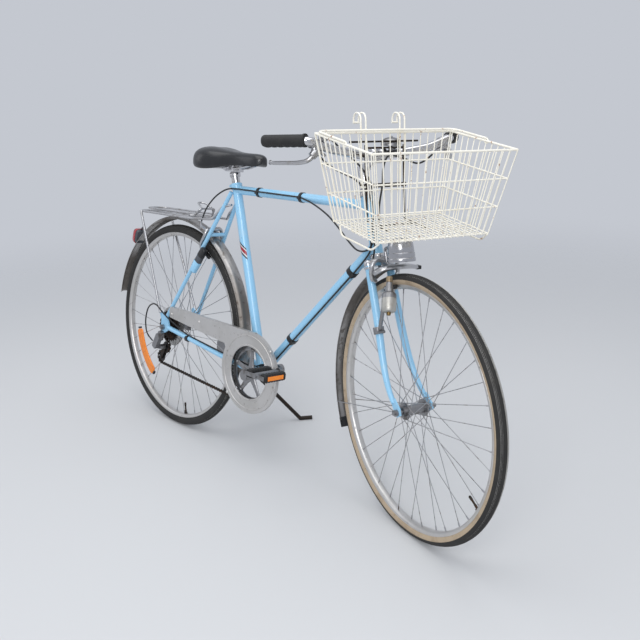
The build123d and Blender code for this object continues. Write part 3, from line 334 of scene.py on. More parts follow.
class Shape:
    """Gathers points and faces in upright millimetres, then becomes one object."""

    def __init__(self, steered=False):
        self.steered = steered
        self.verts = []
        self.faces = []
        self.slots = []
        self.count = 0

    def grid(self, rings, closed_around=True, closed_along=False, caps=False, slot=0, slots=None):
        """Quads over rings with the same number of points."""
        rings = np.asarray(rings, float)
        n, m = rings.shape[:2]
        start, end = self.count, self.count + n * m
        for i in range(n if closed_along else n - 1):
            here, there = start + i * m, start + (i + 1) % n * m
            for j in range(m if closed_around else m - 1):
                after = (j + 1) % m
                self.faces.append((here + j, here + after, there + after, there + j))
                self.slots.append(slots[j] if slots else slot)
        if caps and not closed_along:
            self.faces += [tuple(range(start + m - 1, start - 1, -1)), tuple(range(end - m, end))]
            self.slots += [slot, slot]
        self.verts.append(rings.reshape(-1, 3))
        self.count = end

    def tube(self, points, radius, sides=10, closed=False, slot=0):
        """Round tube along a polyline; radius may be one per point."""
        p = np.asarray(points, float)
        r = np.broadcast_to(np.asarray(radius, float), (len(p),))
        way = np.roll(p, -1, 0) - np.roll(p, 1, 0) if closed else np.gradient(p, axis=0)
        way /= np.linalg.norm(way, axis=1)[:, None]
        u = flat_frame(way[0])[0]
        cos, sin = circle(sides)
        rings = []
        for centre, size, t in zip(p, r, way):
            u = unit(u - t * (u @ t))
            rings.append(centre + size * (cos * u + sin * np.cross(t, u)))
        self.grid(rings, closed_along=closed, caps=True, slot=slot)

    def lathe(self, profile, origin, axis=LEFT, steps=48, slot=0, slots=None, closed=False):
        """Profile of radius and height, turned about an axis through origin."""
        axis = unit(np.asarray(axis, float))
        u, v = flat_frame(axis)
        cos, sin = circle(steps)
        radii, heights = np.hsplit(np.asarray(profile, float), 2)
        rings = [origin + radii * rim + heights * axis for rim in cos * u + sin * v]
        self.grid(rings, closed_around=closed, closed_along=True, slot=slot, slots=slots)

    def box(self, centre, size, x_dir=(1, 0, 0), y_dir=LEFT, slot=0):
        """Box with its edges cut by a share of its least side."""
        x = unit(np.asarray(x_dir, float))
        y = unit(y_dir - x * (x @ y_dir))
        half = np.asarray(size, float) / 2
        cut = min(half) * 0.18
        rings = []
        for z, inset in ((-half[2], cut), (cut - half[2], 0), (half[2] - cut, 0), (half[2], cut)):
            across, along = half[0] - inset, half[1] - inset
            ring = []
            for sx, sy in ((1, 1), (-1, 1), (-1, -1), (1, -1)):
                corner = [(sx * across, sy * (along - cut)), (sx * (across - cut), sy * along)]
                for px, py in corner if sx * sy > 0 else corner[::-1]:
                    ring.append(centre + x * px + y * py + np.cross(x, y) * z)
            rings.append(ring)
        self.grid(rings, caps=True, slot=slot)

    def make(self, name, body, looks, slot, replaced=None, angle=40):
        """Mesh object that rides a body; its edges above the angle stay sharp."""
        mesh = bpy.data.meshes.new(name)
        mesh.from_pydata(placed(np.concatenate(self.verts), self.steered).tolist(), [], self.faces)
        for material in looks:
            mesh.materials.append(material)
        if len(looks) > 1:
            mesh.polygons.foreach_set("material_index", self.slots)
        mesh.polygons.foreach_set("use_smooth", [True] * len(mesh.polygons))
        mesh.set_sharp_from_angle(angle=math.radians(angle))
        mesh.update()
        mesh.validate()
        obj = linked(name, mesh)
        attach(obj, body)
        if replaced:
            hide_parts(replaced)
        return obj


def rounded(points, radius, steps=6):
    """Polyline with its corners rounded by quadratic arcs."""
    p = [np.asarray(q, float) for q in points]
    r = np.broadcast_to(np.asarray(radius, float), (len(p),))
    line = [p[0]]
    for i in range(1, len(p) - 1):
        back, ahead = p[i - 1] - p[i], p[i + 1] - p[i]
        cut = min(r[i], np.linalg.norm(back) * 0.48, np.linalg.norm(ahead) * 0.48)
        first, last = p[i] + unit(back) * cut, p[i] + unit(ahead) * cut
        for t in np.linspace(0, 1, steps + 1):
            line.append(first * (1 - t) ** 2 + 2 * p[i] * t * (1 - t) + last * t * t)
    line.append(p[-1])
    return np.array(line)


def smooth_route(points, steps=8):
    """Catmull-Rom curve through the points."""
    p = np.asarray(points, float)
    q = np.vstack([2 * p[0] - p[1], p, 2 * p[-1] - p[-2]])
    line = []
    for a, b, c, d in zip(q, q[1:], q[2:], q[3:]):
        for t in np.arange(steps) / steps:
            line.append(0.5 * (2 * b + (c - a) * t + (2 * a - 5 * b + 4 * c - d) * t * t
                               + (3 * b - a - 3 * c + d) * t ** 3))
    line.append(p[-1])
    return np.array(line)


def octagon(flat, rise):
    """Box section with cut corners, as shares of its half width and half height."""
    return ((1, rise), (flat, 1), (-flat, 1), (-1, rise), (-1, -rise), (-flat, -1), (flat, -1), (1, -rise))


def soft_ring(centre, across, half_across, upward, half_up, power, steps):
    """Ring between an oval and a box, softer as power nears 1."""
    cos, sin = circle(steps)
    return (centre + half_across * np.sign(cos) * np.abs(cos) ** power * across
            + half_up * np.sign(sin) * np.abs(sin) ** power * upward)


# Wheels: the tyre's half section is side, height and material up to the next point
TYRE_HEIGHT = 39.0
TREAD, WALL, GROOVE = 0, 1, 2
HALF_TYRE = [
    (9.5, 9.5, TREAD), (10.6, 12.0, WALL), (13.6, 17.0, WALL), (15.2, 21.0, WALL), (15.4, 24.8, TREAD),
    (14.6, 30.0, TREAD), (12.9, 33.6, TREAD), (11.3, 34.9, GROOVE), (10.6, 34.8, TREAD), (9.0, 36.3, GROOVE),
    (8.3, 36.1, TREAD), (6.3, 37.7, GROOVE), (5.7, 37.3, TREAD), (3.6, 38.5, TREAD), (3.3, 37.9, TREAD),
    (0.6, TYRE_HEIGHT, TREAD),
]
HALF_RIM = [(0, -11), (-0.4, -11.6), (-6.0, -11.4), (-7.4, -10.4), (-10.0, -8.6), (-11.6, -5.6), (-12.4, -2)]
WHEEL_STEPS = 240
SPOKES_A_SIDE = 18
SPOKE_CROSS = 60


def make_wheel(prefix, axle, outer, rim_outer, steered, wall_look, flanges):
    body = prefix + "_wheel"
    base = outer - TYRE_HEIGHT
    section = [(base + h, -s) for s, h, _ in HALF_TYRE] + [(base + h, s) for s, h, _ in HALF_TYRE[::-1]]
    marks = [mark for _, _, mark in HALF_TYRE]
    tyre = Shape(steered)
    tyre.lathe(section, axle, steps=WHEEL_STEPS, closed=True, slots=marks + marks[-2::-1] + [TREAD])
    tyre.make(prefix + "_tyre_ribbed", body, [tyre_black, wall_look, tyre_lines], "tyre", prefix + "_tyre")

    rim = Shape(steered)
    section = both_sides(HALF_RIM) + [(-1.5, 9.5), (-1.5, -9.5)]
    rim.lathe([(rim_outer + r, s) for r, s in section], axle, steps=WHEEL_STEPS, closed=True)
    rim.make(prefix + "_rim_section", body, [aluminium], "aluminium", prefix + "_rim")

    spokes = Shape(steered)
    step = 360 / SPOKES_A_SIDE
    for way, flange in zip((-1, 1), flanges):
        for index in range(SPOKES_A_SIDE):
            lead = 1 if index % 2 else -1
            hole = step * index + (step / 2 if way > 0 else 0)
            start = around(axle, 23.6, hole, way * flange + lead * 1.4)
            foot = around(axle, 19.5, hole - lead * 2.5, way * flange + lead * 1.5)
            end = around(axle, rim_outer - 12.2, hole + lead * SPOKE_CROSS, way * 3 + lead * 0.8)
            spokes.tube([foot, start, end], 1.0, 6)
            spokes.tube([end, end + unit(start - end) * 11], 1.9, 6)
    spokes.make(prefix + "_spoke_lacing", body, [spoke_steel], "spoke_wire", prefix + "_spokes")


make_wheel("front", FRONT_AXLE, 341.0, 315.0, True, tyre_tan, (28, 28))
make_wheel("rear", REAR_AXLE, 343.0, 317.0, False, tyre_black, (21, 33))

# Saddle: each ring is its run, half width, top and low edge
SADDLE_X = 262.0
SADDLE = [
    (-139, 26, 929, 906), (-136, 46, 936, 896), (-128, 64, 942, 889), (-114, 78, 948, 884),
    (-92, 84, 951, 880.5), (-64, 84, 950, 880), (-36, 73, 946, 883), (-8, 55, 942, 890), (22, 41, 939, 896),
    (54, 32, 937, 899), (88, 28, 937, 899), (112, 26, 937, 898), (128, 22, 934, 900), (137, 14, 929, 905),
    (141, 6, 923, 911),
]
SKIRT = [(0.995, 0.45), (0.95, 0.12), (0.88, 0.0), (0.80, 0.10)]
SADDLE_STEPS = 34
DIP, DIP_HALF, DIP_END, DIP_FADE = 3.2, 11, 10, 60


def saddle_ring(run, half, top, low):
    ring = []
    middle = low + 0.30 * (top - low)
    for k in range(SADDLE_STEPS):
        a = math.pi * k / (SADDLE_STEPS - 1)
        y = half * math.copysign(abs(math.cos(a)) ** 0.72, math.cos(a))
        z = middle + (top - middle) * abs(math.sin(a)) ** 0.8
        if run < DIP_END:
            z -= DIP * math.exp(-(y / DIP_HALF) ** 2) * min(1, (DIP_END - run) / DIP_FADE)
        ring.append((SADDLE_X + run, y, z))
    under = [(-share, depth) for share, depth in SKIRT] + [(0.0, 0.2)] + SKIRT[::-1]
    return ring + [(SADDLE_X + run, half * share, low + (middle - low) * depth) for share, depth in under]


cover = Shape()
cover.grid([saddle_ring(*row) for row in SADDLE], caps=True)
soft = cover.make("saddle_cover", "frame", [black_vinyl], "saddle_cover", "saddle",
                  angle=60).modifiers.new("soft", "SUBSURF")
soft.levels = soft.render_levels = 2

rails = Shape()
for way in (-1, 1):
    route = mirrored(way, (168, 44, 908), (176, 40, 892), (205, 19, 890), (302, 18, 890), (360, 9, 903),
                     (384, 5, 914))
    rails.tube(rounded(route, 14), 3.6)
    for x in (223, 236, 249):
        rails.lathe([(4.6, -3), (6.2, -3), (6.2, 3), (4.6, 3)], (x, 18 * way, 890), (1, 0, 0), 16,
                    closed=True)
rails.box((247, 0, 891), (46, 30, 12))
rails.lathe(both_sides([(0.1, -31), (5, -31), (8, -29), (8, -23), (4, -22)]), (247, 0, 889), steps=24)
rails.make("saddle_frame_wires", "frame", [chrome], "chrome", "saddle_rails")

# Grips: shares of the length where the collar ends and the end cap starts
GRIP_IN, GRIP_OUT = (896, 214, 999), (799, 276, 996)
GRIP_R = 13.6
GRIP_STEPS = 96
COLLAR_SHARE, CAP_SHARE = 0.05, 0.965
FINGERS, RIBS = 6, 26


def grip_radius(t, a):
    if t < COLLAR_SHARE:
        return GRIP_R + 2.6
    if t > CAP_SHARE:
        return GRIP_R + 1 - 40 * (t - CAP_SHARE)
    wave = abs(math.sin(math.pi * (t - COLLAR_SHARE) / (CAP_SHARE - COLLAR_SHARE) * FINGERS)) ** 0.7
    return GRIP_R + 0.7 + 0.35 * math.cos(2 * math.pi * t * RIBS) + max(0.0, -math.sin(a)) * 1.7 * wave


grips = Shape(True)
for way in (-1, 1):
    root, tip = mirrored(way, GRIP_IN, GRIP_OUT)
    axis = unit(tip - root)
    u = unit(np.cross(axis, (0, 0, 1)))
    v = np.cross(u, axis)
    rings = []
    for t in np.linspace(0, 1, GRIP_STEPS + 1):
        centre = root + axis * (1 + t * (np.linalg.norm(tip - root) + 2))
        rings.append([centre + grip_radius(t, a) * (math.cos(a) * u + math.sin(a) * v)
                      for a in np.linspace(0, 2 * math.pi, 24, endpoint=False)])
    grips.grid(rings, caps=True)
grips.make("grips_ribbed", "steering", [rubber], "black_rubber", "grips", angle=50)

# Levers: clamp band, bracket, blade and its end
levers = Shape(True)
for way in (-1, 1):
    neck = rounded(mirrored(way, (893, 188, 989), (897, 192, 977), (899, 197, 966)), 6)
    levers.tube(neck, [9, 9, 8.6, 8.4, 8.2, 8, 8, 7.8, 7.6], 12)
    levers.tube(mirrored(way, (891.5, 176, 985.5), (894.5, 200, 993.5)), 13.4, 18)
    levers.tube(mirrored(way, (899, 190, 972), (899, 200, 962)), 10.5, 14)
    levers.tube(mirrored(way, (897, 186, 976), (892, 168, 966), (890, 160, 962)), [5, 4.4, 3.6])
    levers.tube(mirrored(way, (901, 189, 968), (903, 201, 958)), 3.6)
    blade = rounded(mirrored(way, (899, 192, 968), (897, 210, 951), (872, 226, 946), (812, 262, 944),
                             (804, 266, 945)), [0, 12, 30, 8, 0])
    levers.tube(blade, np.linspace(6.2, 4.4, len(blade)))
    levers.tube(mirrored(way, (806, 264.5, 945), (803, 266, 945.2)), [6.0, 5.0])
levers.make("levers_cast", "steering", [bright_steel], "chrome", "brake_levers", angle=50)

# Shifter, bell and stem fittings
pod = Shape(True)
pod.tube([(885, -157, 978), (886, -159, 990)], [12.5, 9], 16)
pod.lathe([(0.1, -3), (8, -3), (12.4, -1), (13.4, 3), (13, 9), (11, 13.5), (7, 16), (0.1, 16.5)],
          (888, -161.5, 1000), (0.12, -0.16, 1), 28)
pod.tube(rounded([(888, -162, 1010), (872, -150, 1016), (858, -146, 1010)], 8),
         [4, 4, 4, 4, 3.6, 3.4, 3.4, 3.4, 3.4])
pod.make("shifter_pod", "steering", [steel], "steel", angle=45)

BELL = vec(878, 36, 984)
bell = Shape(True)
bell.lathe([(0.1, 18), (8, 17.4), (15, 15.4), (20.5, 12), (24, 7.4), (25.6, 2), (26, -2), (25, -3),
            (24, -1.5), (21, 2), (0.1, 4)], BELL, (0, 0, 1), 40)
bell.lathe([(0.1, 21), (3, 20.6), (4.4, 19), (4.4, 17)], BELL, (0, 0, 1), 16)
bell.tube([(878, 36, 986), (877.5, 36, 968)], 6, 12)
bell.make("bell_dome", "steering", [steel], "chrome", "bell")
trigger = Shape(True)
trigger.tube([(866, 46, 976), (852, 60, 972)], [4, 3], 8)
trigger.box((848, 63, 971), (14, 9, 3), (0.7, 0.7, 0))
trigger.make("bell_trigger", "steering", [black_plastic], "black_rubber")

BAR = vec(871.33, 0, 957.91)
fittings = Shape(True)
fittings.lathe(both_sides([(16.6, -21), (17.4, -20), (17.4, -7), (16.9, -6)]), BAR, steps=36)
fittings.tube([BAR + (10, -10, -16), BAR + (10, 10, -16)], 3.6, 8)
fittings.tube([station(628), station(640)], 8, 6)
fittings.make("stem_fittings", "steering", [chrome], "chrome")

# Headset and fork crown
lips = Shape()
lips.lathe([(19.2, 0), (20.4, 1.5), (20.4, 7), (19.4, 10.4)], station(394.2), STEER_UP, 36)
lips.lathe([(19.2, 0), (20.4, 1.2), (20.6, 5), (18.6, 10.4)], station(557), STEER_UP, 36)
lips.make("headset_lips", "frame", [chrome], "chrome")
nut = Shape(True)
nut.lathe([(12.8, 568.8), (17.6, 568.8), (18.4, 570), (18.4, 572), (13, 573)], STEER_FOOT, STEER_UP, 36)
nut.lathe([(11.6, 573), (17.8, 573.2), (17.8, 577.5), (16.4, 579.4), (11.6, 580)], STEER_FOOT, STEER_UP, 6)
nut.make("headset_nut", "steering", [chrome], "chrome", angle=25)
caps = Shape(True)
for way in (-1, 1):
    caps.lathe([(0.1, 9), (6, 8.2), (10.4, 5), (12.4, 0), (12.6, -9), (11.4, -16)],
               station(384, 0, 31.5 * way), STEER_UP, 28)
caps.make("crown_caps", "steering", [chrome], "chrome")

# Head lamp, which looks along its axis down from the foot
LAMP_FOOT = vec(990, 0, 706)
LAMP_WAY = unit(vec(-7, 0, 46))
LAMP_STEPS = 56
lamp = Shape(True)
lamp.lathe([(33.4, 3.5), (35.0, 0.2), (35.6, 1.5), (35.6, 8), (35.0, 9.4), (34.0, 10.2), (34.4, 11.6),
            (34.2, 22), (33.0, 23.2), (33.4, 24.6), (31.6, 40), (29.4, 50), (25, 56), (16, 59), (0.1, 59.6)],
           LAMP_FOOT, LAMP_WAY, LAMP_STEPS)
lamp.lathe([(0.1, 14), (12, 14.6), (24, 12), (31, 7), (33.4, 3.5)], LAMP_FOOT, LAMP_WAY, LAMP_STEPS, slot=1)
lamp.tube(rounded([station(378, 39), station(412, 39), (948, 0, 738), (966, 0, 744)], 10), 4, 12)
lamp.box((958, 0, 744), (26, 12, 4), (1, 0, 0.15))
lamp.make("head_lamp_cup", "steering", [lamp_silver, reflector_silver], "aluminium", "head_lamp", angle=32)
glass = Shape(True)
glass.lathe([(0.1, 2.4), (14, 2.6), (26, 3.2), (33.2, 4.2)], LAMP_FOOT, LAMP_WAY)
glass.make("head_lamp_glass", "steering", [lamp_glass], "aluminium")

# Dynamo, from its roller at the tyre down to its terminal, with its arm and clamp
ROLLER = vec(1001, -42, 675)
DYNAMO_WAY = unit(vec(0.45, -0.3, -1))
dynamo = Shape(True)
dynamo.lathe([(0.1, 0), (5.4, 0), (7.6, 1), (8.2, 3), (8.2, 12), (7.6, 14.4), (5.4, 15)], ROLLER, DYNAMO_WAY,
             28, slot=1)
dynamo.lathe([(6.6, 14.6), (7.6, 18), (9.2, 28), (10.8, 38), (12.8, 41.5), (16.4, 43.4), (17.8, 47),
              (18, 56)], ROLLER, DYNAMO_WAY, 36)
dynamo.lathe([(18, 56), (18.2, 58), (18.2, 80), (17.6, 84), (15.6, 88.6), (11, 90.2), (0.1, 90.4)],
             ROLLER, DYNAMO_WAY, 36, slot=2)
dynamo.lathe([(0.1, 98), (4, 97.5), (5, 95), (5, 90)], ROLLER, DYNAMO_WAY, 16, slot=3)
elbow = ROLLER + DYNAMO_WAY * 70
arm_foot = station(210, 0, -35.5)
dynamo.tube(rounded([elbow + (-12, 2, 4), elbow + (-24, 2, 2), arm_foot + (10, -3, 2)], 8), 5.2)
dynamo.lathe(both_sides([(11.4, -9), (13.6, -9), (14.2, -8)]), station(210, 1, -35), STEER_UP, 28)
dynamo.tube([arm_foot + (16, 8, 0), arm_foot + (16, -12, 0)], 4, 8)
dynamo.make("dynamo_bottle", "steering", [steel, knurled_tan, pale_steel, brass], "aluminium", "dynamo",
            angle=35)

# Brakes
ARM_RADII = np.linspace(6.4, 5.0, 23)


def brake_block(shape, axle, radius, angle, way):
    """Rubber block at the rim, with the bolt that holds it."""
    shape.box(around(axle, radius, angle, 17.6 * way), (9, 50, 11), LEFT, ray(angle + 90), slot=1)
    shape.tube([around(axle, radius, angle, 20 * way), around(axle, radius, angle, 34 * way)], 3.6)


front_brake = Shape(True)
front_brake.lathe([(0.1, 26), (5, 25.5), (6.6, 23), (6.6, 18), (8.6, 17.6), (8.6, 12), (4.2, 11), (4.2, -16)],
                  station(378, 10), STEER_FORE, 6)
for way in (-1, 1):
    depth = 27 + 4 * way
    arm = rounded([station(388, depth, -12 * way), station(391, depth, 18 * way),
                   station(384, depth, 36 * way), station(348, depth - 6, 37 * way),
                   station(334, depth - 14, 24 * way)], 14)
    front_brake.tube(arm, ARM_RADII)
    brake_block(front_brake, FRONT_AXLE, 309.6, 107, way)
front_brake.box(station(384, 33, 40), (7, 34, 9), STEER_FORE)
front_brake.box(station(382, 33, 58), (8, 8, 10), STEER_FORE, slot=1)
arch = smooth_route([(950, -54, 676), (962, -36, 687), (970, 0, 690), (966, 38, 688), (962, 60, 684),
                     (962, 66, 682)], 6)
rings = []
for t, point in zip(np.linspace(0, 1, len(arch)), arch):
    half_width = 8 + 4 * math.sin(math.pi * t)
    rings.append([point + (half_width * a, 0, 5.2 * b) for a, b in octagon(0.7, 0.4)])
front_brake.grid(rings, caps=True)
front_brake.box((962, 68, 682), (17, 14, 9), slot=1)
front_brake.tube([station(378, 26), (964, 0, 690)], [7, 6])
front_brake.tube(rounded([(936, -18, 702), (940, -46, 708), (940, -58, 684), (934, -50, 656),
                          (930, -38, 650)], 16), 5.4)
front_brake.tube([(907, -32, 684), (907, -32, 704)], 4)
front_brake.make("front_brake_arms", "steering", [bright_steel, rubber], "steel", "front_brake", angle=45)

PIVOT = vec(172, 0, 680)
rear_brake = Shape()
rear_brake.lathe([(0.1, 24), (5, 23.5), (6.4, 22), (6.4, 17), (8.2, 16.6), (8.2, 11), (4, 10), (4, -10)],
                 PIVOT + (10, 0, 1), (-1, 0, 0), 6)
for way in (-1, 1):
    fore = -3 - 5 * way
    arm = rounded([PIVOT + (fore, -12 * way, 10), PIVOT + (fore, 30 * way, 12), PIVOT + (fore, 38 * way, -8),
                   (150, 36 * way, 640), (148, 27 * way, 618)], 12)
    rear_brake.tube(arm, ARM_RADII)
    brake_block(rear_brake, REAR_AXLE, 311.6, 60, way)
rear_brake.tube([(166, -30, 690), (162, -46, 702)], [5.4, 4.4])
rear_brake.tube([(161, -45, 696), (161, -45, 716)], 3.8)
rear_brake.make("rear_brake_arms", "frame", [bright_steel, rubber], "steel", "rear_brake", angle=45)

# Lines of the frame's tubes, as in the part's source
SEAT_ANGLE = math.radians(72.2)


def seat_at(height):
    rise = height - CRANK[2]
    return CRANK + (-rise / math.tan(SEAT_ANGLE), 0, rise)


def head_at(height):
    return station((height - STEER_FOOT[2]) / STEER_UP[2])


SEAT_UP = unit(seat_at(800) - seat_at(400))
TOP_START = seat_at(824.5)
TOP_WAY = unit(head_at(828.5) - TOP_START)
DOWN_WAY = unit(head_at(729) - CRANK)
STAY_LOW = vec(10, 63.5, 372)
STAY_HIGH = seat_at(816) + (-9, 17, 0)


def right_stay_at(height):
    share = (height - STAY_LOW[2]) / (STAY_HIGH[2] - STAY_LOW[2])
    return mirrored(-1, STAY_LOW + (STAY_HIGH - STAY_LOW) * share)[0]


# Frame lock: each ring is its place along the stay, half width and half depth
LOCK_LOW, LOCK_HIGH = right_stay_at(560), right_stay_at(640)
LOCK_UP = unit(LOCK_HIGH - LOCK_LOW)
LOCK_LENGTH = float(np.linalg.norm(LOCK_HIGH - LOCK_LOW))
LOCK_OUT = unit(-LEFT + LOCK_UP * (LEFT @ LOCK_UP))
LOCK_FORE = np.cross(LOCK_OUT, LOCK_UP)
BLACK, BLUE, GREY = 0, 1, 2
LOCK_PARTS = [
    (BLACK, (2, 3, 5), (2.2, 7, 10), (5, 8, 11.5)),
    (BLUE, (3.4, 7, 10), (4, 9, 12.4), (40, 10, 14), (41.6, 9.2, 13)),
    (GREY, (41.6, 8.8, 12.6), (42.4, 9.4, 13), (62, 9, 12), (63, 8.4, 11)),
    (BLACK, (63, 9, 12.4), (64, 9.6, 13), (LOCK_LENGTH - 4, 8.6, 12), (LOCK_LENGTH - 0.5, 6, 9),
     (LOCK_LENGTH - 0.3, 2, 4)),
]


def lock_point(along, out=0.0, back=0.0):
    return LOCK_LOW + LOCK_UP * along + LOCK_OUT * out - LOCK_FORE * back


lock = Shape()
for mark, *rows in LOCK_PARTS:
    lock.grid([soft_ring(lock_point(along, 9, 18), LOCK_OUT, half_out, LOCK_FORE, half_fore, 0.6, 24)
               for along, half_out, half_fore in rows], caps=True, slot=mark)
for along in (20, 27, 34, 41):
    lock.tube([lock_point(along, 15.4, 5), lock_point(along, 15.4, 21)], 1.1, 6, slot=GREY)
for along in (12, 58):
    lock.tube([lock_point(along), lock_point(along, 9, 14)], 4.6)
lock.make("frame_lock", "frame", [black_plastic, enamel, grey_plastic], "lock_plastic", "wheel_lock",
          angle=50)

# Tail lamp: each ring is its place along the lamp, half width and half height
TAIL = around(REAR_AXLE, 390, 135.6)
TAIL_WAY = ray(168)
TAIL_UP = ray(78)
TAIL_HOUSING = [(-14, 12, 16), (-13, 17, 22), (-8, 20, 25), (0, 21.6, 26.6), (1, 21.9, 26.9)]
TAIL_LENS = [(-5, 21.4, 26.4), (-4.6, 22.3, 27.3), (8, 21.4, 26.4), (13, 18.6, 23.6), (14.5, 12, 16)]
tail = Shape()
for mark, rows in ((1, TAIL_HOUSING), (0, TAIL_LENS)):
    tail.grid([soft_ring(TAIL + TAIL_WAY * along, LEFT, half_side, TAIL_UP, half_up, 0.5, 36)
               for along, half_side, half_up in rows], caps=True, slot=mark)
tail.tube([TAIL + TAIL_UP * 20, TAIL + TAIL_UP * 30 + (22, 0, 6)], 4, slot=2)
tail.make("tail_lamp_lens", "frame", [red_lens, grey_plastic, steel], "lamp_plastic", "tail_lamp")

# Cable bands, seat collar and ring
bands = Shape()
for along in (112, 300):
    middle = TOP_START + TOP_WAY * along
    bands.lathe([(13.2, -6), (14.6, -5.4), (14.6, 5.4), (13.2, 6)], middle, TOP_WAY, 32)
    bands.box(middle + (0, -15.8, 0), (11, 6, 8), TOP_WAY)
for along in (500, 182):
    middle = CRANK + DOWN_WAY * along
    bands.lathe([(14.5, -8), (16.2, -7.4), (16.2, 7.4), (14.5, 8)], middle, DOWN_WAY, 32)
    bands.box(middle + (11, -12.5, -9.5), (14, 8, 8), DOWN_WAY)
bands.make("cable_bands", "frame", [black_plastic], "black_rubber", angle=35)

collar = Shape()
collar.lathe([(14.5, -17), (17.2, -16.6), (17.6, -15), (17.6, -2), (16.8, 0.4), (12.9, 0.6)], seat_at(842),
             SEAT_UP, 36)
lug = seat_at(834)
collar.tube([lug + (-19, -11, 0), lug + (-19, 11, 0)], 4.2)
collar.box(lug + (-17, 0, 0), (10, 12, 14))
collar.make("seat_collar", "frame", [enamel], "enamel", angle=35)
post_ring = Shape()
post_ring.lathe([(12.8, 0), (16, 0.4), (16.6, 3), (16.6, 13), (15.4, 15), (12.8, 15.4)], seat_at(862),
                SEAT_UP, 32)
post_ring.make("seat_post_ring", "frame", [chrome], "chrome")

# Stripes: material, first and last height of each band on the seat tube
STRIPES = [(0, 0.0, 6), (1, 6.4, 11), (2, 11.4, 24), (1, 24.4, 28), (0, 28.4, 34)]
STRIPE_FOOT, STRIPE_SLOPE, STRIPE_R = 640, 49.4, 14.55
STRIPE_START, STRIPE_SWEEP = -150, 165
stripes = Shape()
for mark, *edges in STRIPES:
    rows = []
    for edge in edges:
        row = []
        for share in np.linspace(0, 1, 25):
            a = math.radians(STRIPE_START + STRIPE_SWEEP * share)
            toward = math.cos(a) * np.cross(SEAT_UP, LEFT) + math.sin(a) * LEFT
            row.append(seat_at(STRIPE_FOOT + edge + STRIPE_SLOPE * (share - 0.5)) + STRIPE_R * toward)
        rows.append(row)
    stripes.grid(rows, closed_around=False, slot=mark)
stripes.make("seat_tube_stripes", "frame", [black_film, white_film, red_film], "enamel")

# Cables: those over the steering joint run in one fixed curve from the steered bars to the frame
CABLE_R = 2.4


def cable_loop(name, steered_points, frame_points):
    shape = Shape()
    shape.tube(smooth_route(np.vstack([placed(steered_points, True), placed(frame_points)]) * 1000), CABLE_R)
    mesh = bpy.data.meshes.new(name)
    mesh.from_pydata((np.concatenate(shape.verts) / 1000).tolist(), [], shape.faces)
    mesh.materials.append(cable_black)
    mesh.polygons.foreach_set("use_smooth", [True] * len(mesh.polygons))
    obj = linked(name, mesh)
    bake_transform(obj)


def under_down_tube(along):
    """Middle of a cable that lies on the down tube, low on its right side."""
    offset = (14.3 + CABLE_R + 0.2) * math.sin(math.radians(45))
    return CRANK + DOWN_WAY * along + (DOWN_WAY[2] * offset, -offset, -DOWN_WAY[0] * offset)


cable_loop("rear_brake_cable_loop",
           [(893, 176, 972), (888, 120, 936), (892, 64, 950), (900, 16, 958), (922, -14, 930),
            (928, -20, 890), (916, -20, 838), (918, -22, 800), (896, -22, 748)],
           [(868, -26, 718), (829, -22, 712), (790, -20, 732), (749, -20, 763), (700, -18, 792),
            (640, -16, 815), (588, -15.6, 827.6)])
cable_loop("shift_cable_loop",
           [(880, -150, 1004), (868, -128, 996), (872, -96, 968), (898, -62, 930), (914, -40, 880),
            (910, -34, 800), (896, -30, 750)],
           [(880, -28, 720), (858, -20, 694), under_down_tube(522), under_down_tube(505)])

lines = Shape()
lines.tube(rounded([(590, -15.6, 828), (300, -17.2, 828.5), (254, -20, 826), (212, -31, 800), (178, -41, 758),
                    (161, -45, 712)], 30), CABLE_R)
shift_line = [under_down_tube(507), under_down_tube(60), (478, -24, 322), (440, -27, 303), (330, -36, 314),
              (120, -55, 341), (26, -78, 388), (-20, -88, 424), (-70, -84, 404), (-86, -84, 352),
              (-78, -82, 306), (-44, -79, 288)]
lines.tube(rounded(shift_line, [0, 30, 16, 30, 30, 30, 26, 22, 26, 26, 22, 0]), CABLE_R)
lines.box(CRANK + (16, -12, 27), (30, 14, 6), (1, 0, 0.4))
for clip in ((318, -37, 302), (128, -54, 329)):
    lines.lathe([(8.4, -7), (10.2, -6.4), (10.2, 6.4), (8.4, 7)], clip, (1, 0, 0), 20)
lines.make("cables_on_frame", "frame", [cable_black], "black_rubber", angle=50)
hose = Shape(True)
hose.tube(smooth_route([(897, -192, 976), (894, -160, 946), (886, -120, 924), (884, -70, 900),
                        (893, -34, 860), (900, -24, 790), (912, -30, 730), (907, -32, 694)]), CABLE_R)
hose.make("front_brake_hose", "steering", [cable_black], "black_rubber", angle=50)
ends = Shape(True)
ends.tube([(897, 192, 976), (893, 176, 972)], 3.2)
ends.tube([(888, -156, 1000), (880, -150, 1004)], 3.2)
ends.make("cable_ends", "steering", [bright_steel], "steel")

# Rear wheel's reflector
REFLECTOR_R, REFLECTOR_LEFT = 236, -14.5
REFLECTOR_START, REFLECTOR_SWEEP = 194, 42
REFLECTOR_SECTION = [(-16, 0), (-14, -3.4), (0, -5), (14, -3.4), (16, 0), (14, 3.4), (0, 4.4), (-14, 3.4)]
reflector = Shape()
rings = []
for share in np.linspace(0, 1, 25):
    size = 1.0 if 0 < share < 1 else 0.55
    rings.append([around(REAR_AXLE, REFLECTOR_R + r * size, REFLECTOR_START + REFLECTOR_SWEEP * share,
                         REFLECTOR_LEFT + left * size) for r, left in REFLECTOR_SECTION])
reflector.grid(rings, caps=True)
for angle in (193, 215, 237):
    reflector.box(around(REAR_AXLE, REFLECTOR_R, angle, -15), (12, 6, 8), ray(angle), (0, 0, 1), slot=1)
reflector.make("rear_wheel_reflector", "rear_wheel", [orange_plastic, black_plastic], "lamp_plastic",
               angle=35)

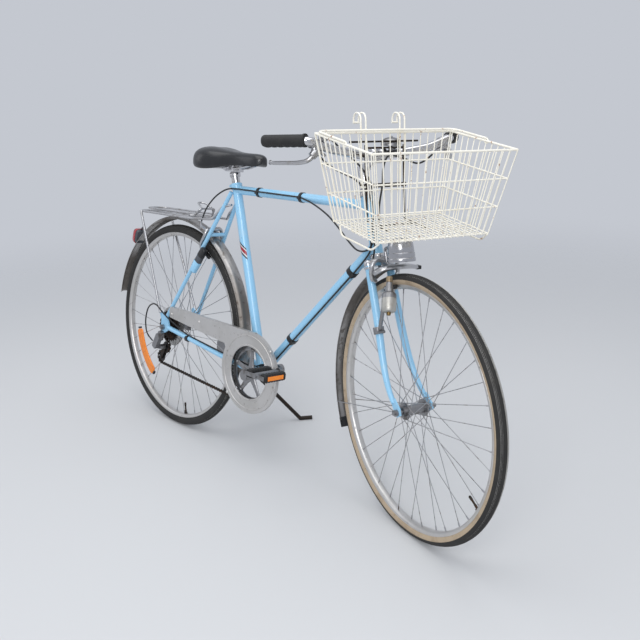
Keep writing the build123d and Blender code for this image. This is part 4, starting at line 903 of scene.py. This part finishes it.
# Valves
for prefix, axle, rim_outer, steered, angle in (("front", FRONT_AXLE, 315, True, -31),
                                                ("rear", REAR_AXLE, 317, False, -79)):
    valve = Shape(steered)
    foot = around(axle, rim_outer - 12, angle)
    valve.lathe([(3.2, -2), (3.2, 12), (2.7, 14), (2.7, 26), (3.4, 27), (3.4, 36), (2, 38), (0.1, 38.4)],
                foot, -ray(angle), 14)
    valve.lathe([(3.3, 0.4), (6, 0.6), (6, 3.4), (3.3, 3.6)], foot, -ray(angle), 6)
    valve.make(prefix + "_valve", prefix + "_wheel", [dark_steel], "dark_steel", angle=35)

# Basket: shares across its depth, width and height
BASKET_WAY = ray(-8.3)
BASKET_TOP, BASKET_LOW = vec(912, 0, 1015), vec(930, 0, 806)


def basket_point(depth, width, rise):
    top = BASKET_TOP + BASKET_WAY * 253 * depth + LEFT * 198 * width
    low = BASKET_LOW + BASKET_WAY * 192 * depth + LEFT * 155.5 * width
    return low + (top - low) * rise


PANELS = [("rear", (0, -1), (0, 1), 17), ("front", (1, -1), (1, 1), 17),
          ("right", (0, -1), (1, -1), 11), ("left", (0, 1), (1, 1), 11)]
FLOOR_BAYS, FLOOR_BARS = 25, 9
for panel, first, last, bays in PANELS:
    wires = Shape(True)

    def wall_point(share, rise):
        return basket_point(*(a + (b - a) * share for a, b in zip(first, last)), rise)

    outward = unit(np.cross(wall_point(1, 0.5) - wall_point(0, 0.5), wall_point(0.5, 1) - wall_point(0.5, 0)))
    if outward @ (wall_point(0.5, 0.5) - basket_point(0.5, 0, 0.5)) < 0:
        outward = -outward
    wires.tube([wall_point(0, 1), wall_point(1, 1)], 2.8, 12)
    for rise in (0.02, 0.34, 0.67):
        wires.tube([wall_point(0, rise), wall_point(1, rise)], 1.9, 8)
    for share in np.linspace(0.004, 0.996, bays + 1):
        wires.tube([wall_point(share, 0.01) + outward * 2.4, wall_point(share, 1) + outward * 2.2], 1.5, 8)
    wires.make("basket_wires_" + panel, "steering", [cream], "basket_wire", "basket_" + panel, angle=60)

floor_wires = Shape(True)
for width in np.linspace(-1, 1, FLOOR_BAYS + 1)[1:-1]:
    floor_wires.tube([basket_point(-0.005, width, 0.012), basket_point(1.005, width, 0.012)], 1.3, 6)
for depth in np.linspace(0, 1, FLOOR_BARS + 1)[1:-1]:
    floor_wires.tube([basket_point(depth, -0.995, -0.001), basket_point(depth, 0.995, -0.001)], 1.5, 6)
floor_wires.make("basket_wires_floor", "steering", [cream], "basket_wire", "basket_floor", angle=60)

# Basket's bracket and its cross rods in dark steel: run, right, left and height of each rod
hooks = Shape(True)
RODS = [(903, -100, 100, 993), (905, -56, 56, 978), (911, -74, 61, 890), (911.5, -40, 61, 884),
        (960, -56, 56, 793.5)]
for way in (-1, 1):
    hooks.tube(rounded(mirrored(way, (905, 56, 985), (916, 56, 800), (1010, 56, 787)), 12), 3, slot=1)
    hooks.tube(mirrored(way, (872, 56, 962), (907, 56, 958)), 3.8, slot=1)
for x, right, left, height in RODS:
    hooks.tube([(x, right, height), (x, left, height)], 2.4, 8, slot=1)
# Double hooks, handle with its eyes, and bent feet in the basket's wire
for middle in (-63, 50):
    for y in (middle - 7, middle + 7):
        hooks.tube(rounded([(911.2, y, 884), (905, y, 1050), (898, y, 1060), (880, y, 1062), (871, y, 1050),
                            (872, y, 1038)], 9), 2.3)
    hooks.tube([(872, middle - 9, 1038), (872, middle + 9, 1038)], 2.6, 8)
    hooks.tube([(911.2, middle - 9, 884), (911.2, middle + 9, 884)], 2.3, 8)
hooks.tube(rounded([basket_point(0.55, -1, 1) + (0, -1, 6), basket_point(0.03, -1, 1) + (0, -1, 7),
                    basket_point(0.03, 1, 1) + (0, 1, 7), basket_point(0.55, 1, 1) + (0, 1, 6)], 26, 8), 2.8)
for way in (-1, 1):
    eye = basket_point(0.55, way, 1) + (0, 0.6 * way, 0)
    hooks.tube([eye + 6 * ray(angle) for angle in np.linspace(0, 360, 14, endpoint=False)], 1.8, 8,
               closed=True)
    hooks.tube(rounded(mirrored(way, (950, 153, 802), (964, 156, 779), (1098, 156, 763), (1122, 153, 780)),
                       12), 2.4, 8)
hooks.make("basket_hooks_and_handle", "steering", [cream, dark_steel], "basket_wire", "basket_bearer",
           angle=60)

# Chain: a closed path round four wheels, each with its turning sense
PITCH = 12.7
CHAIN_Y = -43.0
JOCKEY, TENSION = vec(-14, 0, 271), vec(-36, 0, 229)
ARC_STEPS = 60


def pitch_radius(teeth):
    return PITCH / 2 / math.sin(math.pi / teeth)


WHEELS = [(REAR_AXLE, pitch_radius(24)), (CRANK, pitch_radius(48)), (TENSION, pitch_radius(10)),
          (JOCKEY, -pitch_radius(10))]
contacts = []
for (here, a), (there, b) in zip(WHEELS, WHEELS[1:] + WHEELS[:1]):
    way = there - here
    reach = math.hypot(way[0], way[2])
    cross = math.atan2(a - b, math.sqrt(reach ** 2 - (a - b) ** 2))
    normal = math.atan2(way[2], way[0]) + math.pi / 2 - cross
    toward = ray(math.degrees(normal))
    contacts.append((here + a * toward, there + b * toward))
path = []
for k, (centre, radius) in enumerate(WHEELS):
    arrive, leave = contacts[k - 1][1] - centre, contacts[k][0] - centre
    first, last = math.atan2(arrive[2], arrive[0]), math.atan2(leave[2], leave[0])
    turn = (first - last) % (2 * math.pi) if radius > 0 else -((last - first) % (2 * math.pi))
    for t in np.linspace(0, 1, ARC_STEPS):
        path.append(around(centre, abs(radius), math.degrees(first - turn * t)))
    for t in np.linspace(0, 1, ARC_STEPS)[1:-1]:
        path.append(contacts[k][0] * (1 - t) + contacts[k][1] * t)
path = np.array(path + path[:1])
lengths = np.concatenate([[0], np.cumsum(np.linalg.norm(np.diff(path, axis=0), axis=1))])
links = 2 * round(lengths[-1] / PITCH / 2)
pins = np.array([[np.interp(lengths[-1] * k / links, lengths, path[:, i]) for i in range(3)]
                 for k in range(links)])
pins[:, 1] = CHAIN_Y

HALF_PLATE = [(-2.2, 3.9), (1.6, 3.8), (4, 2.6), (PITCH - 4, 2.6), (PITCH - 1.6, 3.8), (PITCH + 2.2, 3.9)]
PLATE = ([(-4.2, -1.6), (-4.2, 1.6)] + HALF_PLATE + [(PITCH + 4.2, 1.6), (PITCH + 4.2, -1.6)]
         + [(x, -z) for x, z in HALF_PLATE[::-1]])
chain = Shape()
for k in range(links):
    pin, next_pin = pins[k], pins[(k + 1) % links]
    run = unit(next_pin - pin)
    rise = vec(-run[2], 0, run[0])
    for y in (-3.35, 3.35) if k % 2 else (-2.25, 2.25):
        chain.grid([[pin + run * x + rise * z + LEFT * side_y for x, z in PLATE]
                    for side_y in (y - 0.5, y + 0.5)], caps=True)
    chain.tube([pin - 3.9 * LEFT, pin + 3.9 * LEFT], 1.9, 8)
    chain.tube([pin - 1.7 * LEFT, pin + 1.7 * LEFT], 3.6)
chain.make("chain_links", "frame", [dark_steel], "dark_steel", "chain", angle=30)


# Chainring, freewheel and derailleur wheels
def toothed_ring(shape, centre, left, teeth, inner, thick):
    tip = pitch_radius(teeth) - 4.2
    root = tip - 4.2
    tooth = [(-0.30, root), (-0.24, root + 0.4), (-0.10, tip), (0.10, tip), (0.24, root + 0.4), (0.30, root)]
    rays = [(ray(360 * (k + share) / teeth), r) for k in range(teeth) for share, r in tooth]
    rings = []
    for size, y in ((0, -0.5), (0.985, -0.5), (1, -0.25), (1, 0.25), (0.985, 0.5), (0, 0.5)):
        rings.append([centre + toward * (r * size if size else inner) + LEFT * (left + y * thick)
                      for toward, r in rays])
    shape.grid(rings, closed_along=True)


SPIDER_ARMS = 5
SPIDER_ARM = [(18, 13, 4), (34, 9.4, 3), (58, 7.2, 2.2), (72, 8.4, 1.9), (78, 7.0, 1.7)]
ring = Shape()
toothed_ring(ring, CRANK, CHAIN_Y, 48, 72, 2.6)
ring.lathe([(72.4, -1.8), (76, -2.2), (76, 2.2), (72.4, 1.8)], CRANK + LEFT * CHAIN_Y, steps=120, closed=True)
for k in range(SPIDER_ARMS):
    angle = 360 / SPIDER_ARMS * k + 17
    rings = []
    for radius, half_width, half_thick in SPIDER_ARM:
        middle = around(CRANK, radius, angle, CHAIN_Y - 2.4)
        rings.append([middle + ray(angle + 90) * half_width * x + LEFT * half_thick * y
                      for x, y in octagon(0.8, 0.4)])
    ring.grid(rings, caps=True)
    ring.lathe([(0.1, -2.6), (3.4, -2.4), (4.6, -1.2), (4.8, 1)], around(CRANK, 73, angle, CHAIN_Y - 4.4),
               steps=16)
ring.lathe([(8.6, -4), (20, -4), (22, -2), (24, 2), (24, 4), (8.6, 4)], CRANK + LEFT * (CHAIN_Y - 3),
           closed=True)
ring.make("chainring_toothed", "crank_set", [steel], "steel", "chainring", angle=35)

cluster = Shape()
for index, teeth in enumerate((28, 24, 20, 17, 14)):
    toothed_ring(cluster, REAR_AXLE, CHAIN_Y + (1 - index) * 5, teeth, 15, 1.9)
cluster.lathe([(10, -27), (16.6, -27), (17, -26), (17, 1), (10, 1)], REAR_AXLE - LEFT * 35, closed=True)
cluster.make("freewheel_toothed", "rear_wheel", [dark_steel], "dark_steel", "freewheel", angle=35)
pulleys = Shape()
for centre in (JOCKEY, TENSION):
    toothed_ring(pulleys, centre, CHAIN_Y, 10, 6, 3.2)
    pulleys.lathe([(0.1, -8.6), (3, -8.6), (4.6, -7.8), (4.8, -6.8)], centre + LEFT * CHAIN_Y, steps=18)
pulleys.make("derailleur_pulleys", "frame", [black_plastic], "dark_steel", angle=35)

# Chain guard's beads and screws, in the guard's own turned plane
GUARD_TURN = 0.0358
GUARD_FORE = vec(math.cos(GUARD_TURN), math.sin(GUARD_TURN), 0)
GUARD_OUT = vec(math.sin(GUARD_TURN), -math.cos(GUARD_TURN), 0)
BEAD_STEPS = 110


def guard_point(x, z, out):
    return vec(452, -55.5, 294 + z) + GUARD_OUT * out + GUARD_FORE * x


bead = Shape()
for radius, wire in ((112.5, 2.2), (84, 1.8)):
    turns = np.linspace(0, 2 * math.pi, BEAD_STEPS, endpoint=False)
    bead.tube([guard_point(radius * math.cos(a), radius * math.sin(a), 1.2) for a in turns], wire, 8,
              closed=True)
for x, z in ((-398, 104), (-250, 106), (-93, -84), (92, 84)):
    bead.lathe([(0.1, 2.6), (3, 2.4), (4.6, 1), (5, 0)], guard_point(x, z, 1.6), GUARD_OUT, 14)
bead.make("chain_guard_bead", "frame", [aluminium], "aluminium", angle=60)

# Mudguards: a curved section with a crease on each side, swept round the axle
SAG = 11
ARC_SHARE = 0.93


def guard_rings(axle, radius, width, first, last, steps, thick=1.2):
    """Rings of a mudguard whose edges drop by SAG from its crown."""
    outer, inner = [], []
    for share in np.linspace(-1, 1, 15):
        drop = SAG * (1 - math.sqrt(1 - (share * ARC_SHARE) ** 2)) / (1 - math.sqrt(1 - ARC_SHARE ** 2))
        height = radius - drop + 0.9 * math.exp(-((abs(share) - 0.62) / 0.09) ** 2)
        outer.append((height, share * width / 2))
        inner.append((height - thick, share * (width / 2 - 0.9)))
    return [[around(axle, r, angle, y) for r, y in outer + inner[::-1]]
            for angle in np.linspace(first, last, steps + 1)]


front_guard = Shape(True)
front_guard.grid(guard_rings(FRONT_AXLE, 372, 40, 114.5, 203, 70), caps=True)
front_guard.grid(guard_rings(FRONT_AXLE, 372.6, 41, 201.5, 206, 4, thick=2), caps=True, slot=1)
crown = station(374)
boss = np.linalg.norm(FRONT_AXLE - crown) - 371
front_guard.tube([crown, crown + unit(FRONT_AXLE - crown) * boss], 4, 12, slot=2)
for way in (-1, 1):
    stay_foot = FRONT_AXLE - STEER_FORE * 12.5 + STEER_UP * 3 + LEFT * 53 * way
    front_guard.tube([around(FRONT_AXLE, 361.5, 194, 20.4 * way), stay_foot], 1.3, 8, slot=3)
    front_guard.lathe([(3.6, -1.8), (3.8, -1.6), (3.8, 1.6), (3.6, 1.8), (0.1, 1.8), (0.1, -1.8)], stay_foot,
                      steps=16, slot=2)
front_guard.make("front_mudguard_shell", "steering", [mudguard_grey, black_plastic, steel, bright_steel],
                 "aluminium", "front_mudguard", angle=50)
rear_guard = Shape()
rear_guard.grid(guard_rings(REAR_AXLE, 373, 44, -12, 171, 120), caps=True)
rear_guard.make("rear_mudguard_shell", "frame", [mudguard_grey], "aluminium", "rear_mudguard", angle=50)

# Rack's plates and spring clip with its two coils
COIL_R, COIL_TURNS, COIL_STEPS = 6.2, 5, 14
clip = Shape()
for way in (-1, 1):
    clip.box((-20, 26 * way, 721), (330, 12, 2.4), (1, 0, 0.015))
    coil = [(110, way * (36 + 0.28 * k), 726) + COIL_R * ray(360 * k / COIL_STEPS)
            for k in range(COIL_TURNS * COIL_STEPS)]
    clip.tube(coil, 1.5, 6)
    clip.tube(rounded(mirrored(way, (196, 30, 726), (224, 16, 748), (240, 22, 768), (278, 17, 778)), 14), 3.4)
clip.tube(rounded([(104, -34, 722), (130, -30, 752), (130, 30, 752), (104, 34, 722)], 12), 3.2)
clip_side = [(-160, 36, 728), (118, 33, 734), (130, 20, 752), (96, 14, 768)]
clip.tube(rounded(mirrored(-1, *clip_side) + [(84, 0, 768)] + clip_side[::-1]
                  + [(-172, 0, 729), (-160, -36, 728)], 12), 3)
clip.make("rack_spring_clip", "frame", [bright_steel], "chrome", angle=50)

# Pedals
CRANK_REACH = vec(162.574, 0, 49.704)
for name, way in (("right", -1), ("left", 1)):
    spindle = CRANK - CRANK_REACH * way
    pedal = Shape()
    pedal.lathe([(6.4, 85), (9, 85.6), (9.4, 92), (9.4, 158), (9, 164.4), (6, 165), (6, 168), (0.1, 168.6)],
                spindle, LEFT * way, 24, slot=1)
    pedal.lathe([(6.3, 81), (6.3, 90)], spindle, LEFT * way, 18, slot=1)
    for side_x in (-1, 1):
        rings = []
        for k in range(33):
            groove = 1.1 if k % 4 == 2 else 0
            size = 0.86 if k in (0, 32) else 1
            rings.append([spindle + (31 * side_x + size * (11 - groove) * x, way * (87 + 76 * k / 32),
                                     size * (12 - groove) * z) for x, z in octagon(0.7, 0.6)])
        pedal.grid(rings, caps=True)
        pedal.box(spindle + (41.6 * side_x, way * 125, 0), (2.6, 56, 12), slot=2)
    for y in (86.5, 163):
        pedal.box(spindle + (0, way * y, 0), (76, 3.4, 12), slot=1)
    pedal.make("pedal_" + name + "_blocks", "pedal_" + name, [rubber, steel, orange_plastic], "black_rubber",
               "pedal_" + name)

# Floor, which fades out towards its rim
FLOOR_R, FADE_START, FADE_END = 5, 1.2, 4.5
FLOOR_STEPS = 96
floor_look = bpy.data.materials.new("studio_floor")
floor_look.use_nodes = True
tree = floor_look.node_tree
shader = tree.nodes["Principled BSDF"]
shader.inputs["Base Color"].default_value = rgb(206, 207, 208)
shader.inputs["Roughness"].default_value = 0.9
shader.inputs["Specular IOR Level"].default_value = 0.15
where = tree.nodes.new("ShaderNodeTexCoord")
spread = tree.nodes.new("ShaderNodeVectorMath")
spread.operation = "LENGTH"
fade = tree.nodes.new("ShaderNodeMapRange")
fade.interpolation_type = "SMOOTHSTEP"
fade.inputs["From Min"].default_value = FADE_START
fade.inputs["From Max"].default_value = FADE_END
clear = tree.nodes.new("ShaderNodeBsdfTransparent")
blend = tree.nodes.new("ShaderNodeMixShader")
for output, socket in ((where.outputs["Object"], spread.inputs[0]),
                       (spread.outputs["Value"], fade.inputs["Value"]),
                       (fade.outputs["Result"], blend.inputs["Fac"]), (shader.outputs[0], blend.inputs[1]),
                       (clear.outputs[0], blend.inputs[2]),
                       (blend.outputs[0], tree.nodes["Material Output"].inputs["Surface"])):
    tree.links.new(output, socket)
floor_mesh = bpy.data.meshes.new("floor")
edge = [(FLOOR_R * math.cos(a), FLOOR_R * math.sin(a), 0)
        for a in np.linspace(0, 2 * math.pi, FLOOR_STEPS, endpoint=False)]
floor_mesh.from_pydata(edge, [], [list(range(FLOOR_STEPS))])
floor_mesh.materials.append(floor_look)
linked("floor", floor_mesh)

# Studio light
world = bpy.data.worlds.new("studio")
bpy.context.scene.world = world
world.use_nodes = True
world.node_tree.nodes["Background"].inputs["Color"].default_value = rgb(196, 200, 208)


def area_light(name, position, target, size, power):
    data = bpy.data.lights.new(name, "AREA")
    data.shape = "RECTANGLE"
    data.size, data.size_y = size
    data.energy = power
    light = linked(name, data)
    light.location = position
    light.rotation_euler = (Vector(target) - Vector(position)).to_track_quat("-Z", "Y").to_euler()


area_light("top_soft", (0.3, -0.4, 3.4), (0, 0, 0.3), (3.2, 3.2), 56)
area_light("key_soft", (2.6, -3.2, 2.6), (0, 0, 0.5), (1.8, 1.8), 70)
area_light("left_soft", (-2.8, -2.2, 2.2), (0, 0, 0.5), (1.6, 2.2), 10)
bpy.context.scene.view_settings.view_transform = "Standard"
